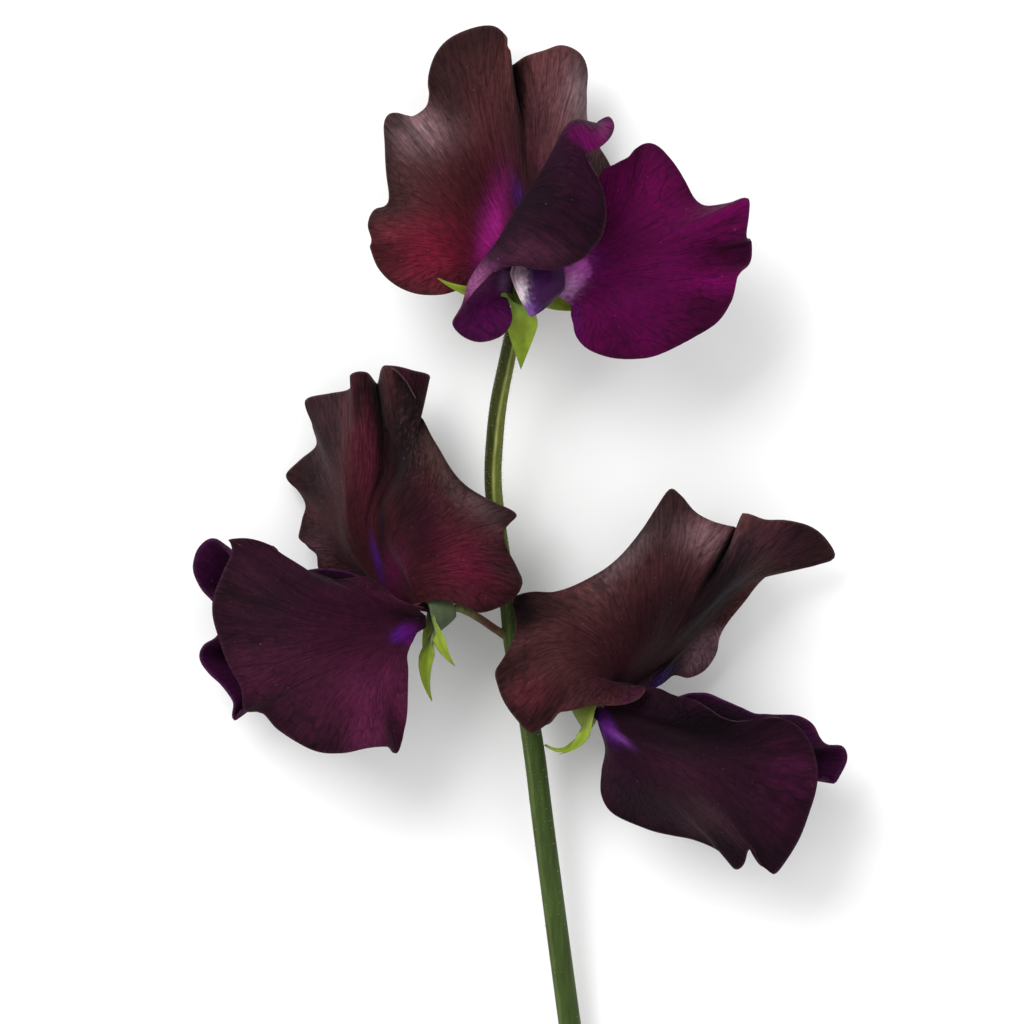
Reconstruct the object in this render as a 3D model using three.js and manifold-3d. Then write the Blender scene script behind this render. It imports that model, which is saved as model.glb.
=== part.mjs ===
import * as THREE from 'three';
import { mergeVertices } from 'three/addons/utils/BufferGeometryUtils.js';
import Module from 'manifold-3d';

// A cut sweet pea stem with three blooms, lying on its side on a surface.
// Millimetres, +Y up the stem, +Z away from the surface that it lies on.

// Driving dimensions
const petalThickness = 0.64;
const sepalThickness = 0.6;
const bannerRows = 6;
const wingRows = 5;
const restHeight = 0;

const calyxFloorRadius = 0.8;
const calyxDepth = 3.0;
const calyxMouthRadius = 2.4;
const cupFullness = 0.75;
const sepalCount = 5;
const columnsPerSepal = 6;
const cupRows = 2;
const sepalRows = 4;
const sepalNotch = 0.16;
const sepalFullness = 1.7;
const sepalTurnEnd = 0.5;

const stemSides = 10;
const stemSteps = 40;
const stemRidge = 0.12;
const pedicelRadius = 0.5;
const pedicelSides = 8;
const pedicelSteps = 8;
const keelSides = 12;
const keelSteps = 9;

// Petal nets: each ring of points runs across the petal from one edge of its claw, round its
// outline, to the other edge. Share is the ring's place on the way from the claw to the rim.

const bannerTopNet = [
  {
    share: 0.00,
    points: [
      [0.2, 29.5, 17.0], [2.6, 29.5, 17.0],
    ],
  },
  {
    share: 0.20,
    points: [
      [-0.6, 29.9, 17.2], [-3.8, 31.2, 17.8], [-3.0, 34.5, 17.6], [0.6, 36.5, 15.6],
      [3.8, 35.0, 13.0], [3.6, 30.2, 16.8],
    ],
  },
  {
    share: 0.55,
    points: [
      [-1.8, 29.6, 17.2], [-7.5, 30.5, 18.2], [-10.0, 34.0, 17.8], [-9.5, 38.5, 17.6],
      [-8.0, 42.5, 17.6], [-6.0, 46.0, 17.4], [-2.0, 48.0, 16.6], [2.6, 46.5, 10.8],
      [6.5, 45.5, 11.2], [9.3, 39.5, 7.5], [5.0, 30.6, 14.6],
    ],
  },
  {
    share: 1.00,
    points: [
      [-2.6, 28.9, 17.0], [-4.4, 28.2, 17.0], [-6.5, 27.7, 17.0], [-9.0, 27.1, 16.5],
      [-12.0, 27.3, 15.5], [-14.8, 28.6, 14.5], [-16.9, 30.6, 13.5], [-17.7, 33.0, 13.0],
      [-17.4, 34.0, 13.5], [-17.9, 35.8, 13.0], [-17.2, 37.7, 12.0], [-15.6, 38.8, 12.0],
      [-15.5, 42.0, 12.0], [-15.7, 45.5, 12.0], [-15.9, 48.5, 12.5], [-15.2, 49.8, 13.0],
      [-13.6, 49.5, 14.5], [-12.0, 49.4, 15.5], [-10.7, 50.6, 15.0], [-10.3, 52.4, 13.5],
      [-10.5, 54.5, 12.0], [-9.6, 57.0, 11.0], [-7.6, 59.2, 10.5], [-4.8, 60.6, 10.5],
      [-2.3, 60.8, 11.0], [-0.9, 59.6, 12.0], [-0.6, 57.6, 13.0], [-0.3, 55.9, 8.5],
      [1.6, 57.0, 10.5], [4.2, 57.8, 11.5], [6.4, 58.4, 11.0], [8.4, 57.3, 9.5], [9.5, 55.0, 8.5],
      [9.4, 52.0, 8.0], [9.4, 49.0, 7.5], [10.6, 46.0, 5.0], [12.3, 43.0, 2.0], [12.9, 39.5, 0.2],
      [11.5, 35.8, 1.5], [9.0, 32.9, 5.5], [6.0, 31.0, 12.0],
    ],
  },
];

const leftWingTopNet = [
  {
    share: 0.00,
    points: [
      [0.1, 28.6, 17.5], [0.0, 27.2, 17.5],
    ],
  },
  {
    share: 0.22,
    points: [
      [-0.5, 29.2, 18.8], [0.9, 32.2, 19.0], [-0.7, 31.8, 20.8], [-2.2, 29.2, 20.6],
      [-1.2, 27.3, 19.0],
    ],
  },
  {
    share: 0.50,
    points: [
      [-0.6, 29.6, 19.4], [1.9, 36.2, 19.2], [5.2, 43.6, 20.5], [4.3, 43.0, 24.5],
      [1.5, 38.8, 24.0], [-1.2, 34.3, 23.4], [-4.8, 29.2, 21.8], [-4.6, 25.6, 20.0],
      [-1.4, 26.8, 19.0],
    ],
  },
  {
    share: 0.78,
    points: [
      [-0.3, 29.8, 19.7], [4.3, 39.3, 18.8], [9.0, 47.2, 21.3], [7.4, 47.7, 26.0],
      [7.0, 39.0, 27.2], [2.4, 32.6, 27.0], [-5.0, 28.1, 23.0], [-5.6, 23.6, 20.4],
      [-0.9, 26.7, 19.0],
    ],
  },
  {
    share: 1.00,
    points: [
      [0.0, 30.0, 20.0], [0.8, 31.7, 19.6], [2.3, 34.5, 18.9], [4.5, 38.0, 18.4],
      [7.0, 41.5, 18.0], [9.0, 44.6, 19.0], [10.2, 47.3, 20.0], [11.0, 48.6, 20.5],
      [12.1, 49.1, 21.0], [12.7, 47.9, 22.0], [12.1, 46.3, 23.5], [10.7, 45.0, 25.3],
      [9.2, 44.1, 26.5], [9.8, 42.6, 26.5], [10.8, 41.0, 26.0], [11.5, 38.6, 25.5],
      [11.6, 36.0, 25.0], [11.0, 33.8, 24.8], [9.6, 32.1, 25.0], [7.8, 30.9, 25.3],
      [5.4, 30.1, 25.8], [2.8, 30.1, 26.0], [0.4, 30.6, 25.6], [-1.8, 30.2, 24.8],
      [-3.7, 28.4, 23.6], [-5.4, 26.4, 22.6], [-6.8, 24.7, 21.8], [-7.4, 23.3, 21.0],
      [-6.1, 21.8, 20.3], [-3.9, 21.1, 19.8], [-1.3, 21.9, 19.4], [0.0, 23.9, 19.2],
      [-0.6, 26.6, 18.9],
    ],
  },
];

const rightWingTopNet = [
  {
    share: 0.00,
    points: [
      [2.9, 27.1, 17.2], [2.9, 28.6, 17.2],
    ],
  },
  {
    share: 0.20,
    points: [
      [4.6, 27.7, 18.2], [7.6, 27.6, 19.2], [9.2, 29.6, 19.2], [8.0, 30.9, 18.6],
      [4.8, 29.2, 18.0],
    ],
  },
  {
    share: 0.55,
    points: [
      [5.0, 27.4, 18.4], [8.8, 25.5, 20.6], [13.5, 25.0, 21.0], [18.0, 28.5, 20.0],
      [18.8, 32.2, 19.2], [16.8, 34.6, 18.4], [13.8, 36.8, 17.6], [10.4, 35.0, 17.4],
      [5.2, 29.8, 17.9],
    ],
  },
  {
    share: 1.00,
    points: [
      [5.2, 27.2, 18.6], [6.4, 27.0, 19.0], [7.2, 25.8, 19.8], [7.6, 23.8, 20.3],
      [8.0, 21.8, 20.3], [9.5, 20.2, 19.8], [12.6, 19.1, 19.0], [16.0, 19.2, 18.3],
      [19.3, 20.1, 18.0], [22.6, 21.7, 17.5], [25.7, 23.7, 17.0], [27.2, 26.2, 17.5],
      [27.9, 28.8, 18.8], [28.6, 30.2, 18.0], [29.8, 31.4, 16.0], [29.8, 33.8, 15.5],
      [29.1, 34.6, 17.5], [29.5, 36.8, 19.5], [29.3, 39.0, 20.5], [27.0, 38.3, 18.5],
      [24.6, 37.8, 17.0], [23.0, 38.9, 16.0], [21.6, 41.3, 15.0], [20.0, 43.7, 14.5],
      [18.1, 45.6, 14.3], [16.4, 45.9, 14.5], [14.8, 44.5, 15.5], [12.9, 43.3, 15.4],
      [11.4, 42.6, 15.4], [10.6, 40.2, 15.8], [10.0, 36.8, 16.4], [8.4, 33.2, 17.0],
      [5.6, 30.2, 17.8],
    ],
  },
];

const bannerLeftNet = [
  {
    share: 0.00,
    points: [
      [-10.2, -12.5, 13.5], [-10.2, -12.5, 15.3],
    ],
  },
  {
    share: 0.20,
    points: [
      [-12.6, -12.2, 13.4], [-17.8, -7.5, 12.5], [-18.0, -5.0, 13.0], [-15.2, -4.5, 14.5],
      [-13.0, -8.0, 16.8], [-12.0, -11.8, 15.9],
    ],
  },
  {
    share: 0.55,
    points: [
      [-12.9, -12.1, 13.2], [-20.5, -6.0, 9.5], [-21.8, -2.5, 9.5], [-21.8, 2.0, 11.0],
      [-20.2, 5.5, 13.2], [-14.8, 6.0, 12.5], [-12.4, 5.0, 16.0], [-8.8, -0.5, 18.0],
      [-7.0, -4.0, 18.5], [-7.5, -8.2, 18.5], [-12.2, -11.7, 16.2],
    ],
  },
  {
    share: 1.00,
    points: [
      [-13.2, -12.0, 13.0], [-17.0, -10.5, 10.0], [-20.8, -9.0, 8.0], [-23.9, -7.6, 7.0],
      [-24.4, -5.3, 6.5], [-25.6, -4.2, 6.0], [-26.9, -3.2, 5.0], [-26.4, -1.2, 4.5],
      [-25.7, 0.8, 5.0], [-26.8, 2.9, 4.0], [-28.4, 4.6, 2.5], [-26.8, 6.6, 3.0],
      [-24.3, 8.5, 5.5], [-24.9, 11.2, 5.0], [-25.9, 14.0, 3.0], [-23.0, 14.9, 6.0],
      [-20.3, 15.5, 10.0], [-19.8, 17.3, 11.5], [-18.2, 17.4, 11.0], [-16.9, 16.1, 8.5],
      [-16.4, 18.0, 12.0], [-15.3, 18.3, 13.0], [-12.8, 17.7, 10.0], [-10.3, 16.9, 7.5],
      [-13.2, 14.2, 8.5], [-11.1, 11.6, 10.0], [-10.1, 8.9, 11.0], [-8.2, 6.0, 11.5],
      [-5.8, 3.4, 12.0], [-3.2, 1.7, 12.0], [-0.4, 0.3, 11.0], [0.3, -0.8, 11.0],
      [-0.9, -2.2, 13.0], [-0.6, -4.5, 12.5], [0.6, -7.0, 12.0], [1.1, -9.0, 12.5],
      [-0.5, -11.2, 13.5], [-3.8, -12.6, 15.0], [-6.3, -11.6, 16.2], [-9.2, -10.8, 17.0],
      [-12.3, -11.6, 16.4],
    ],
  },
];

const nearWingLeftNet = [
  {
    share: 0.00,
    points: [
      [-10.8, -14.4, 15.9], [-10.8, -12.9, 15.9],
    ],
  },
  {
    share: 0.20,
    points: [
      [-12.0, -14.8, 16.4], [-14.6, -16.6, 18.2], [-15.6, -14.6, 18.4], [-15.0, -12.6, 18.0],
      [-11.6, -12.3, 17.1],
    ],
  },
  {
    share: 0.55,
    points: [
      [-12.1, -15.0, 16.5], [-14.8, -20.5, 19.5], [-18.6, -22.5, 21.0], [-23.5, -20.0, 21.5],
      [-25.5, -15.8, 21.5], [-24.8, -11.5, 21.0], [-21.8, -10.0, 20.8], [-18.2, -10.2, 19.5],
      [-11.4, -12.1, 17.6],
    ],
  },
  {
    share: 1.00,
    points: [
      [-12.0, -15.3, 16.6], [-12.8, -16.9, 17.0], [-13.0, -19.5, 17.8], [-13.1, -23.0, 17.5],
      [-13.4, -26.8, 16.5], [-14.2, -30.1, 15.0], [-15.6, -29.2, 17.0], [-18.0, -29.3, 18.5],
      [-21.0, -30.0, 18.0], [-23.8, -30.0, 17.0], [-26.6, -28.6, 16.5], [-29.2, -27.0, 16.0],
      [-31.0, -25.2, 16.5], [-33.3, -24.7, 17.0], [-33.6, -22.0, 18.0], [-35.2, -19.2, 18.0],
      [-36.4, -16.3, 17.0], [-37.1, -13.4, 16.0], [-37.1, -10.4, 15.5], [-36.0, -7.4, 16.0],
      [-34.9, -4.8, 16.0], [-35.2, -3.6, 15.0], [-33.0, -3.3, 16.0], [-30.6, -3.9, 17.0],
      [-28.6, -5.4, 18.0], [-26.6, -7.0, 18.5], [-24.3, -7.5, 19.0], [-22.2, -8.4, 19.5],
      [-20.0, -8.2, 19.5], [-17.8, -8.2, 18.8], [-16.0, -9.2, 18.2], [-14.4, -10.9, 17.9],
      [-11.0, -11.9, 17.8],
    ],
  },
];

const farWingLeftNet = [
  {
    share: 0.00,
    points: [
      [-10.8, -14.4, 12.9], [-10.8, -12.9, 12.9],
    ],
  },
  {
    share: 0.20,
    points: [
      [-12.0, -14.4, 12.7], [-15.5, -16.8, 10.5], [-16.2, -14.8, 10.5], [-15.2, -13.2, 11.3],
      [-12.6, -13.4, 12.5],
    ],
  },
  {
    share: 0.55,
    points: [
      [-12.2, -14.6, 12.6], [-17.5, -20.8, 6.0], [-25.0, -20.5, 2.5], [-27.5, -18.0, 0.6],
      [-28.0, -15.0, 0.9], [-27.5, -11.8, 3.5], [-24.8, -10.8, 5.5], [-19.5, -10.8, 9.0],
      [-12.8, -13.4, 12.4],
    ],
  },
  {
    share: 1.00,
    points: [
      [-11.8, -15.0, 12.6], [-13.5, -17.8, 11.0], [-15.2, -21.5, 9.5], [-18.0, -25.0, 8.5],
      [-21.5, -27.2, 7.5], [-25.0, -27.3, 7.5], [-28.4, -26.2, 8.0], [-31.5, -25.2, 9.0],
      [-33.6, -24.9, 9.5], [-34.8, -25.9, 9.0], [-34.7, -23.9, 9.5], [-36.2, -22.0, 9.0],
      [-38.0, -20.3, 8.5], [-39.0, -18.4, 8.0], [-38.5, -16.9, 8.5], [-37.0, -15.5, 9.5],
      [-36.2, -13.0, 10.5], [-37.4, -10.9, 10.0], [-38.9, -9.2, 9.5], [-40.0, -7.2, 9.0],
      [-39.6, -5.0, 9.0], [-38.3, -3.7, 9.5], [-36.8, -3.8, 10.5], [-35.3, -5.0, 11.0],
      [-32.5, -7.3, 12.0], [-29.0, -8.2, 12.5], [-26.0, -7.6, 13.0], [-23.6, -7.0, 13.2],
      [-21.2, -7.2, 13.2], [-19.2, -8.2, 13.0], [-17.0, -9.9, 12.8], [-14.8, -11.8, 12.6],
      [-12.6, -13.0, 12.4],
    ],
  },
];

const bannerRightNet = [
  {
    share: 0.00,
    points: [
      [11.7, -23.9, 14.0], [11.7, -23.9, 12.0],
    ],
  },
  {
    share: 0.20,
    points: [
      [14.6, -21.9, 14.2], [12.2, -21.6, 16.2], [12.6, -19.2, 16.6], [16.0, -17.6, 15.8],
      [18.4, -17.8, 12.5], [18.4, -19.4, 10.5], [15.8, -22.3, 12.8],
    ],
  },
  {
    share: 0.55,
    points: [
      [14.9, -21.8, 14.6], [12.6, -21.5, 18.0], [8.5, -20.5, 18.5], [6.5, -17.8, 18.5],
      [7.5, -14.5, 18.0], [12.0, -12.5, 18.0], [17.5, -9.0, 17.5], [21.5, -8.8, 15.5],
      [26.2, -9.6, 13.5], [27.8, -9.5, 10.0], [25.5, -12.6, 8.0], [22.2, -17.0, 7.5],
      [16.0, -22.4, 12.8],
    ],
  },
  {
    share: 1.00,
    points: [
      [15.2, -22.0, 15.0], [16.6, -21.9, 16.8], [15.8, -23.0, 17.8], [14.0, -23.9, 18.2],
      [11.8, -24.1, 18.0], [9.6, -24.1, 17.2], [7.4, -24.7, 16.4], [5.4, -25.2, 15.5],
      [3.8, -26.8, 13.8], [2.4, -27.5, 12.8], [0.8, -26.0, 13.2], [-0.7, -24.0, 13.5],
      [-1.7, -21.8, 13.0], [-2.2, -19.9, 12.5], [-0.9, -18.0, 13.0], [0.3, -16.2, 13.0],
      [0.6, -13.8, 11.5], [0.2, -11.0, 10.2], [2.2, -10.0, 11.5], [5.2, -9.9, 13.5],
      [8.2, -9.2, 14.0], [11.2, -7.6, 13.8], [13.8, -5.3, 13.0], [16.2, -2.3, 11.8],
      [18.0, 0.6, 10.5], [19.8, 2.8, 9.5], [21.3, 1.8, 10.5], [22.9, 0.0, 12.0],
      [25.2, -1.2, 13.5], [27.9, -1.9, 13.0], [28.4, -2.3, 9.5], [29.1, -0.2, 14.5],
      [31.6, -0.9, 13.0], [34.6, -1.1, 11.0], [37.6, -1.9, 9.0], [39.6, -3.6, 7.5],
      [40.4, -5.7, 6.0], [37.0, -6.4, 6.5], [33.4, -7.1, 7.0], [31.2, -8.8, 7.0],
      [29.2, -11.2, 6.5], [27.2, -13.6, 6.0], [25.9, -15.6, 5.0], [25.4, -17.8, 4.0],
      [24.2, -20.0, 4.0], [22.2, -20.9, 5.0], [20.3, -20.4, 7.0], [18.6, -21.6, 10.0],
      [16.2, -22.6, 12.5],
    ],
  },
];

const nearWingRightNet = [
  {
    share: 0.00,
    points: [
      [10.1, -25.4, 14.0], [10.7, -24.4, 14.0],
    ],
  },
  {
    share: 0.20,
    points: [
      [10.6, -25.6, 14.1], [12.4, -28.0, 16.5], [14.2, -28.2, 17.4], [15.0, -26.8, 16.8],
      [13.9, -25.2, 15.3], [11.3, -24.4, 14.1],
    ],
  },
  {
    share: 0.50,
    points: [
      [10.9, -25.6, 14.2], [12.8, -30.5, 18.0], [16.0, -33.2, 19.0], [18.8, -33.6, 19.8],
      [22.0, -32.6, 21.0], [24.8, -31.4, 20.0], [24.5, -29.3, 18.5], [22.0, -27.4, 17.0],
      [18.5, -25.8, 16.5], [14.6, -24.5, 15.4], [11.5, -24.3, 14.2],
    ],
  },
  {
    share: 1.00,
    points: [
      [10.6, -25.7, 14.1], [11.2, -27.7, 15.2], [11.5, -30.0, 16.0], [11.3, -32.6, 16.3],
      [11.2, -35.0, 16.0], [12.2, -37.1, 15.5], [14.2, -38.6, 15.0], [17.0, -39.6, 14.5],
      [20.0, -40.2, 14.0], [22.8, -40.8, 13.8], [25.0, -41.8, 13.3], [26.6, -43.3, 12.8],
      [28.0, -44.5, 12.3], [29.1, -43.6, 12.8], [29.5, -42.2, 14.5], [30.1, -42.1, 15.0],
      [31.2, -44.0, 13.8], [32.6, -45.1, 12.5], [34.2, -43.5, 13.0], [35.8, -40.9, 13.8],
      [37.0, -38.0, 14.3], [37.8, -35.0, 15.0], [38.0, -32.0, 15.3], [37.4, -29.2, 15.3],
      [36.0, -27.0, 15.0], [34.0, -25.8, 15.0], [32.0, -25.6, 15.5], [30.2, -25.9, 16.0],
      [28.2, -26.2, 16.5], [26.2, -25.6, 17.0], [24.4, -24.4, 17.3], [22.8, -23.4, 17.2],
      [21.2, -23.1, 16.8], [19.7, -22.6, 16.2], [18.4, -22.0, 15.7], [17.0, -22.0, 15.2],
      [15.6, -22.4, 15.0], [14.2, -22.9, 14.9], [13.0, -23.3, 14.7], [12.0, -23.8, 14.4],
      [11.2, -24.2, 14.2],
    ],
  },
];

const farWingRightNet = [
  {
    share: 0.00,
    points: [
      [10.7, -26.0, 11.6], [11.6, -24.8, 11.5],
    ],
  },
  {
    share: 0.20,
    points: [
      [11.0, -26.2, 11.2], [13.8, -28.4, 9.3], [15.0, -27.6, 8.8], [14.8, -26.2, 10.0],
      [12.0, -25.4, 11.2],
    ],
  },
  {
    share: 0.55,
    points: [
      [11.2, -26.2, 11.0], [16.8, -31.8, 5.0], [24.5, -32.8, 0.8], [28.0, -31.2, 0.5],
      [28.0, -28.8, 3.0], [24.8, -27.2, 6.0], [20.8, -25.8, 8.8], [16.4, -25.4, 10.5],
      [12.0, -25.3, 11.2],
    ],
  },
  {
    share: 1.00,
    points: [
      [10.8, -26.0, 11.0], [11.8, -29.0, 9.5], [13.6, -32.5, 8.0], [16.5, -35.5, 6.5],
      [20.0, -37.4, 5.5], [24.0, -38.4, 5.0], [28.0, -38.4, 5.0], [32.0, -37.0, 5.5],
      [35.4, -35.0, 6.5], [37.8, -33.9, 7.5], [39.2, -33.1, 8.5], [40.4, -34.1, 8.0],
      [41.4, -32.6, 8.0], [41.9, -30.9, 8.5], [41.3, -29.6, 9.3], [39.6, -29.1, 10.0],
      [38.6, -28.2, 10.5], [37.6, -26.8, 11.0], [35.9, -25.8, 11.5], [34.0, -25.3, 12.0],
      [32.0, -25.2, 12.2], [30.2, -25.4, 12.5], [28.4, -24.6, 13.0], [26.6, -23.5, 13.3],
      [24.6, -22.6, 13.5], [22.8, -22.8, 13.4], [21.2, -23.2, 13.2], [19.6, -23.4, 13.0],
      [18.0, -23.6, 12.7], [16.4, -23.9, 12.4], [14.8, -24.2, 12.0], [13.2, -24.6, 11.7],
      [11.8, -25.0, 11.3],
    ],
  },
];

// The stalk's centre line from the cut end to the top bloom, with its radius at each point
const stemLine = [
  { at: [10.85, -90.0, 1.32], radius: 1.32 },
  { at: [7.05, -63.0, 4.0], radius: 1.26 },
  { at: [4.0, -40.0, 6.2], radius: 1.22 },
  { at: [2.75, -30.0, 7.2], radius: 1.2 },
  { at: [1.4, -22.0, 8.0], radius: 1.12 },
  { at: [0.2, -17.0, 8.3], radius: 1.05 },
  { at: [-0.4, -12.0, 8.3], radius: 0.98 },
  { at: [-1.2, -6.0, 8.1], radius: 0.98 },
  { at: [-1.9, -1.0, 8.0], radius: 0.98 },
  { at: [-2.35, 4.0, 8.6], radius: 0.98 },
  { at: [-2.15, 9.0, 9.7], radius: 0.98 },
  { at: [-1.6, 14.0, 10.8], radius: 0.96 },
  { at: [-0.6, 19.0, 12.0], radius: 0.92 },
  { at: [0.1, 22.6, 12.4], radius: 0.84 },
  { at: [0.8, 25.7, 13.0], radius: 0.8 },
];

const leftPedicelLine = [
  [-0.5, -15.6, 8.3],
  [-2.2, -14.6, 9.6],
  [-4.2, -13.2, 12.2],
  [-6.3, -12.1, 13.9],
];

const rightPedicelLine = [
  [0.8, -19.6, 8.2],
  [2.8, -20.6, 9.2],
  [5.2, -21.8, 11.0],
  [7.0, -22.8, 12.0],
];

// Each calyx: the middle of its floor, the way its mouth faces, the way to its upper side, and
// for its five sepals, counted from the lower middle one, a bend, a tip and half its blade's width
const topCalyx = {
  floor: [1.0, 26.6, 14.1],
  facing: [0.12, 0.42, 0.9],
  upper: [0.0, 1.0, -0.4],
  sepals: [
    { bend: [1.3, 22.4, 17.6], tip: [1.1, 17.8, 15.2], blade: [2.6, 0.2, 0.0] },
    { bend: [5.6, 25.8, 16.4], tip: [8.8, 25.1, 14.8], blade: [0.2, 1.3, -0.3] },
    { bend: [4.0, 29.6, 13.0], tip: [5.0, 29.4, 9.4], blade: [-1.2, 0.4, 0.0] },
    { bend: [-1.0, 31.2, 13.6], tip: [-3.6, 32.0, 11.0], blade: [-0.8, -1.0, 0.0] },
    { bend: [-5.4, 26.6, 20.0], tip: [-9.2, 29.1, 18.8], blade: [0.0, -1.0, -0.4] },
  ],
};

const leftCalyx = {
  floor: [-7.2, -12.0, 14.2],
  facing: [-0.96, -0.26, 0.06],
  upper: [-0.26, 0.96, 0.0],
  sepals: [
    { bend: [-11.9, -19.2, 14.2], tip: [-10.0, -23.6, 12.8], blade: [1.3, 0.1, 0.4] },
    { bend: [-9.0, -17.4, 17.6], tip: [-7.1, -19.2, 16.4], blade: [0.9, 0.3, -0.4] },
    { bend: [-8.9, -9.9, 13.6], tip: [-8.6, -7.2, 12.2], blade: [-0.8, 0.0, -0.8] },
    { bend: [-10.2, -10.0, 10.8], tip: [-12.0, -7.2, 9.0], blade: [-0.8, -0.8, 0.0] },
    { bend: [-10.8, -16.2, 10.2], tip: [-10.8, -19.4, 8.8], blade: [0.9, 0.0, 0.5] },
  ],
};

const rightCalyx = {
  floor: [7.8, -23.3, 12.4],
  facing: [0.82, -0.55, 0.15],
  upper: [0.55, 0.82, 0.1],
  sepals: [
    { bend: [7.2, -31.2, 12.2], tip: [4.1, -29.1, 11.2], blade: [-0.25, 0.35, -0.45] },
    { bend: [10.4, -26.6, 8.4], tip: [9.2, -27.8, 7.4], blade: [0.4, 0.5, -0.3] },
    { bend: [12.4, -23.2, 9.8], tip: [14.2, -21.2, 8.4], blade: [0.6, 0.8, 0.0] },
    { bend: [11.4, -22.4, 12.4], tip: [12.0, -19.4, 11.2], blade: [-0.5, 0.5, 0.3] },
    { bend: [9.2, -29.4, 15.2], tip: [5.8, -30.3, 13.8], blade: [-0.95, 0.25, -0.3] },
  ],
};

// Each keel's line from its claw to its tip, with half its width and half its depth at each point.
// The top one is seen end on, and its lower edge is pointed.
const topKeel = {
  side: [0.98, -0.16, 0.0],
  lowerEdge: 0.8,
  line: [
    { at: [1.4, 27.5, 17.0], wide: 0.6, deep: 0.6 },
    { at: [1.5, 27.6, 18.2], wide: 0.7, deep: 0.9 },
    { at: [1.8, 27.8, 19.4], wide: 1.0, deep: 1.6 },
    { at: [2.6, 28.3, 20.4], wide: 3.1, deep: 4.2 },
    { at: [3.1, 28.6, 21.2], wide: 3.7, deep: 4.8 },
    { at: [3.3, 28.8, 22.0], wide: 3.2, deep: 3.8 },
    { at: [3.4, 29.0, 22.7], wide: 1.6, deep: 1.8 },
  ],
};

const leftKeel = {
  side: [0.0, 0.0, 1.0],
  lowerEdge: 0,
  line: [
    { at: [-10.8, -13.7, 14.4], wide: 0.6, deep: 0.6 },
    { at: [-12.6, -14.2, 14.4], wide: 0.9, deep: 1.2 },
    { at: [-15.0, -14.9, 14.4], wide: 1.4, deep: 2.2 },
    { at: [-18.0, -15.2, 14.4], wide: 1.6, deep: 2.7 },
    { at: [-21.0, -14.2, 14.4], wide: 1.4, deep: 2.4 },
    { at: [-23.4, -12.2, 14.4], wide: 0.9, deep: 1.4 },
    { at: [-24.8, -10.2, 14.4], wide: 0.3, deep: 0.4 },
  ],
};

const rightKeel = {
  side: [0.0, 0.0, 1.0],
  lowerEdge: 0,
  line: [
    { at: [11.1, -25.3, 13.0], wide: 0.6, deep: 0.6 },
    { at: [12.6, -26.4, 13.0], wide: 0.9, deep: 1.2 },
    { at: [14.8, -27.8, 12.8], wide: 1.4, deep: 2.0 },
    { at: [17.6, -29.2, 12.4], wide: 1.6, deep: 2.5 },
    { at: [20.6, -29.6, 12.0], wide: 1.4, deep: 2.2 },
    { at: [23.2, -28.8, 11.8], wide: 0.9, deep: 1.3 },
    { at: [25.0, -27.6, 11.8], wide: 0.3, deep: 0.4 },
  ],
};

const vectorOf = (point) => new THREE.Vector3(...point);

// A smooth line through points; place runs from 0 at the first to 1 at the last
function smoothLine(points) {
  return new THREE.CatmullRomCurve3(points.map(vectorOf), false, 'catmullrom');
}

// The slope of a run of positions at a ring, from its neighbours on both sides
function slopeAt(rings, index) {
  const last = rings.length - 1;
  const rise = (from, to) => rings[to].position.clone().sub(rings[from].position)
    .divideScalar(rings[to].share - rings[from].share);
  if (index === 0) return rise(0, 1);
  if (index === last) return rise(last - 1, last);
  const before = rings[index].share - rings[index - 1].share;
  const after = rings[index + 1].share - rings[index].share;
  return rise(index - 1, index).multiplyScalar(after)
    .add(rise(index, index + 1).multiplyScalar(before))
    .divideScalar(before + after);
}

// A smooth step from ring to ring of a net, at one place across the petal
function pointAcross(rings, share) {
  let index = 0;
  while (index < rings.length - 2 && share > rings[index + 1].share) index += 1;
  const from = rings[index];
  const to = rings[index + 1];
  const span = to.share - from.share;
  const part = (share - from.share) / span;
  const squared = part * part;
  const cubed = squared * part;
  return from.position.clone().multiplyScalar(2 * cubed - 3 * squared + 1)
    .addScaledVector(slopeAt(rings, index), span * (cubed - 2 * squared + part))
    .addScaledVector(to.position, 3 * squared - 2 * cubed)
    .addScaledVector(slopeAt(rings, index + 1), span * (cubed - squared));
}

// The middle surface of a petal: one row of points for each step from its claw to its rim
function petalRows(net, rowCount) {
  const lines = net.map((ring) => ({ share: ring.share, line: smoothLine(ring.points) }));
  const columnCount = net[net.length - 1].points.length - 1;
  const rows = [];
  for (let row = 0; row <= rowCount; row += 1) {
    const cells = [];
    for (let column = 0; column <= columnCount; column += 1) {
      const place = column / columnCount;
      const rings = lines.map(({ share, line }) => ({ share, position: line.getPoint(place) }));
      cells.push(pointAcross(rings, row / rowCount));
    }
    rows.push(cells);
  }
  return rows;
}

// The direction that a surface of rows faces at one of its points
function facingAt(rows, row, column, closed) {
  const cells = rows[row];
  const count = cells.length;
  const before = closed ? (column + count - 1) % count : Math.max(column - 1, 0);
  const after = closed ? (column + 1) % count : Math.min(column + 1, count - 1);
  const along = cells[after].clone().sub(cells[before]);
  const outward = rows[Math.min(row + 1, rows.length - 1)][column].clone()
    .sub(rows[Math.max(row - 1, 0)][column]);
  return along.cross(outward).normalize();
}

// A closed mesh from points and triangles of their indices, with its faces turned outward
function closedGeometry(points, triangles) {
  let volume = 0;
  for (const [a, b, c] of triangles) {
    volume += points[a].dot(points[b].clone().cross(points[c]));
  }
  const ordered = volume < 0 ? triangles.map(([a, b, c]) => [a, c, b]) : triangles;
  const geometry = new THREE.BufferGeometry();
  geometry.setAttribute('position', new THREE.Float32BufferAttribute(
    points.flatMap((point) => point.toArray()),
    3,
  ));
  geometry.setIndex(ordered.flat());
  geometry.computeVertexNormals();
  return geometry;
}

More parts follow.
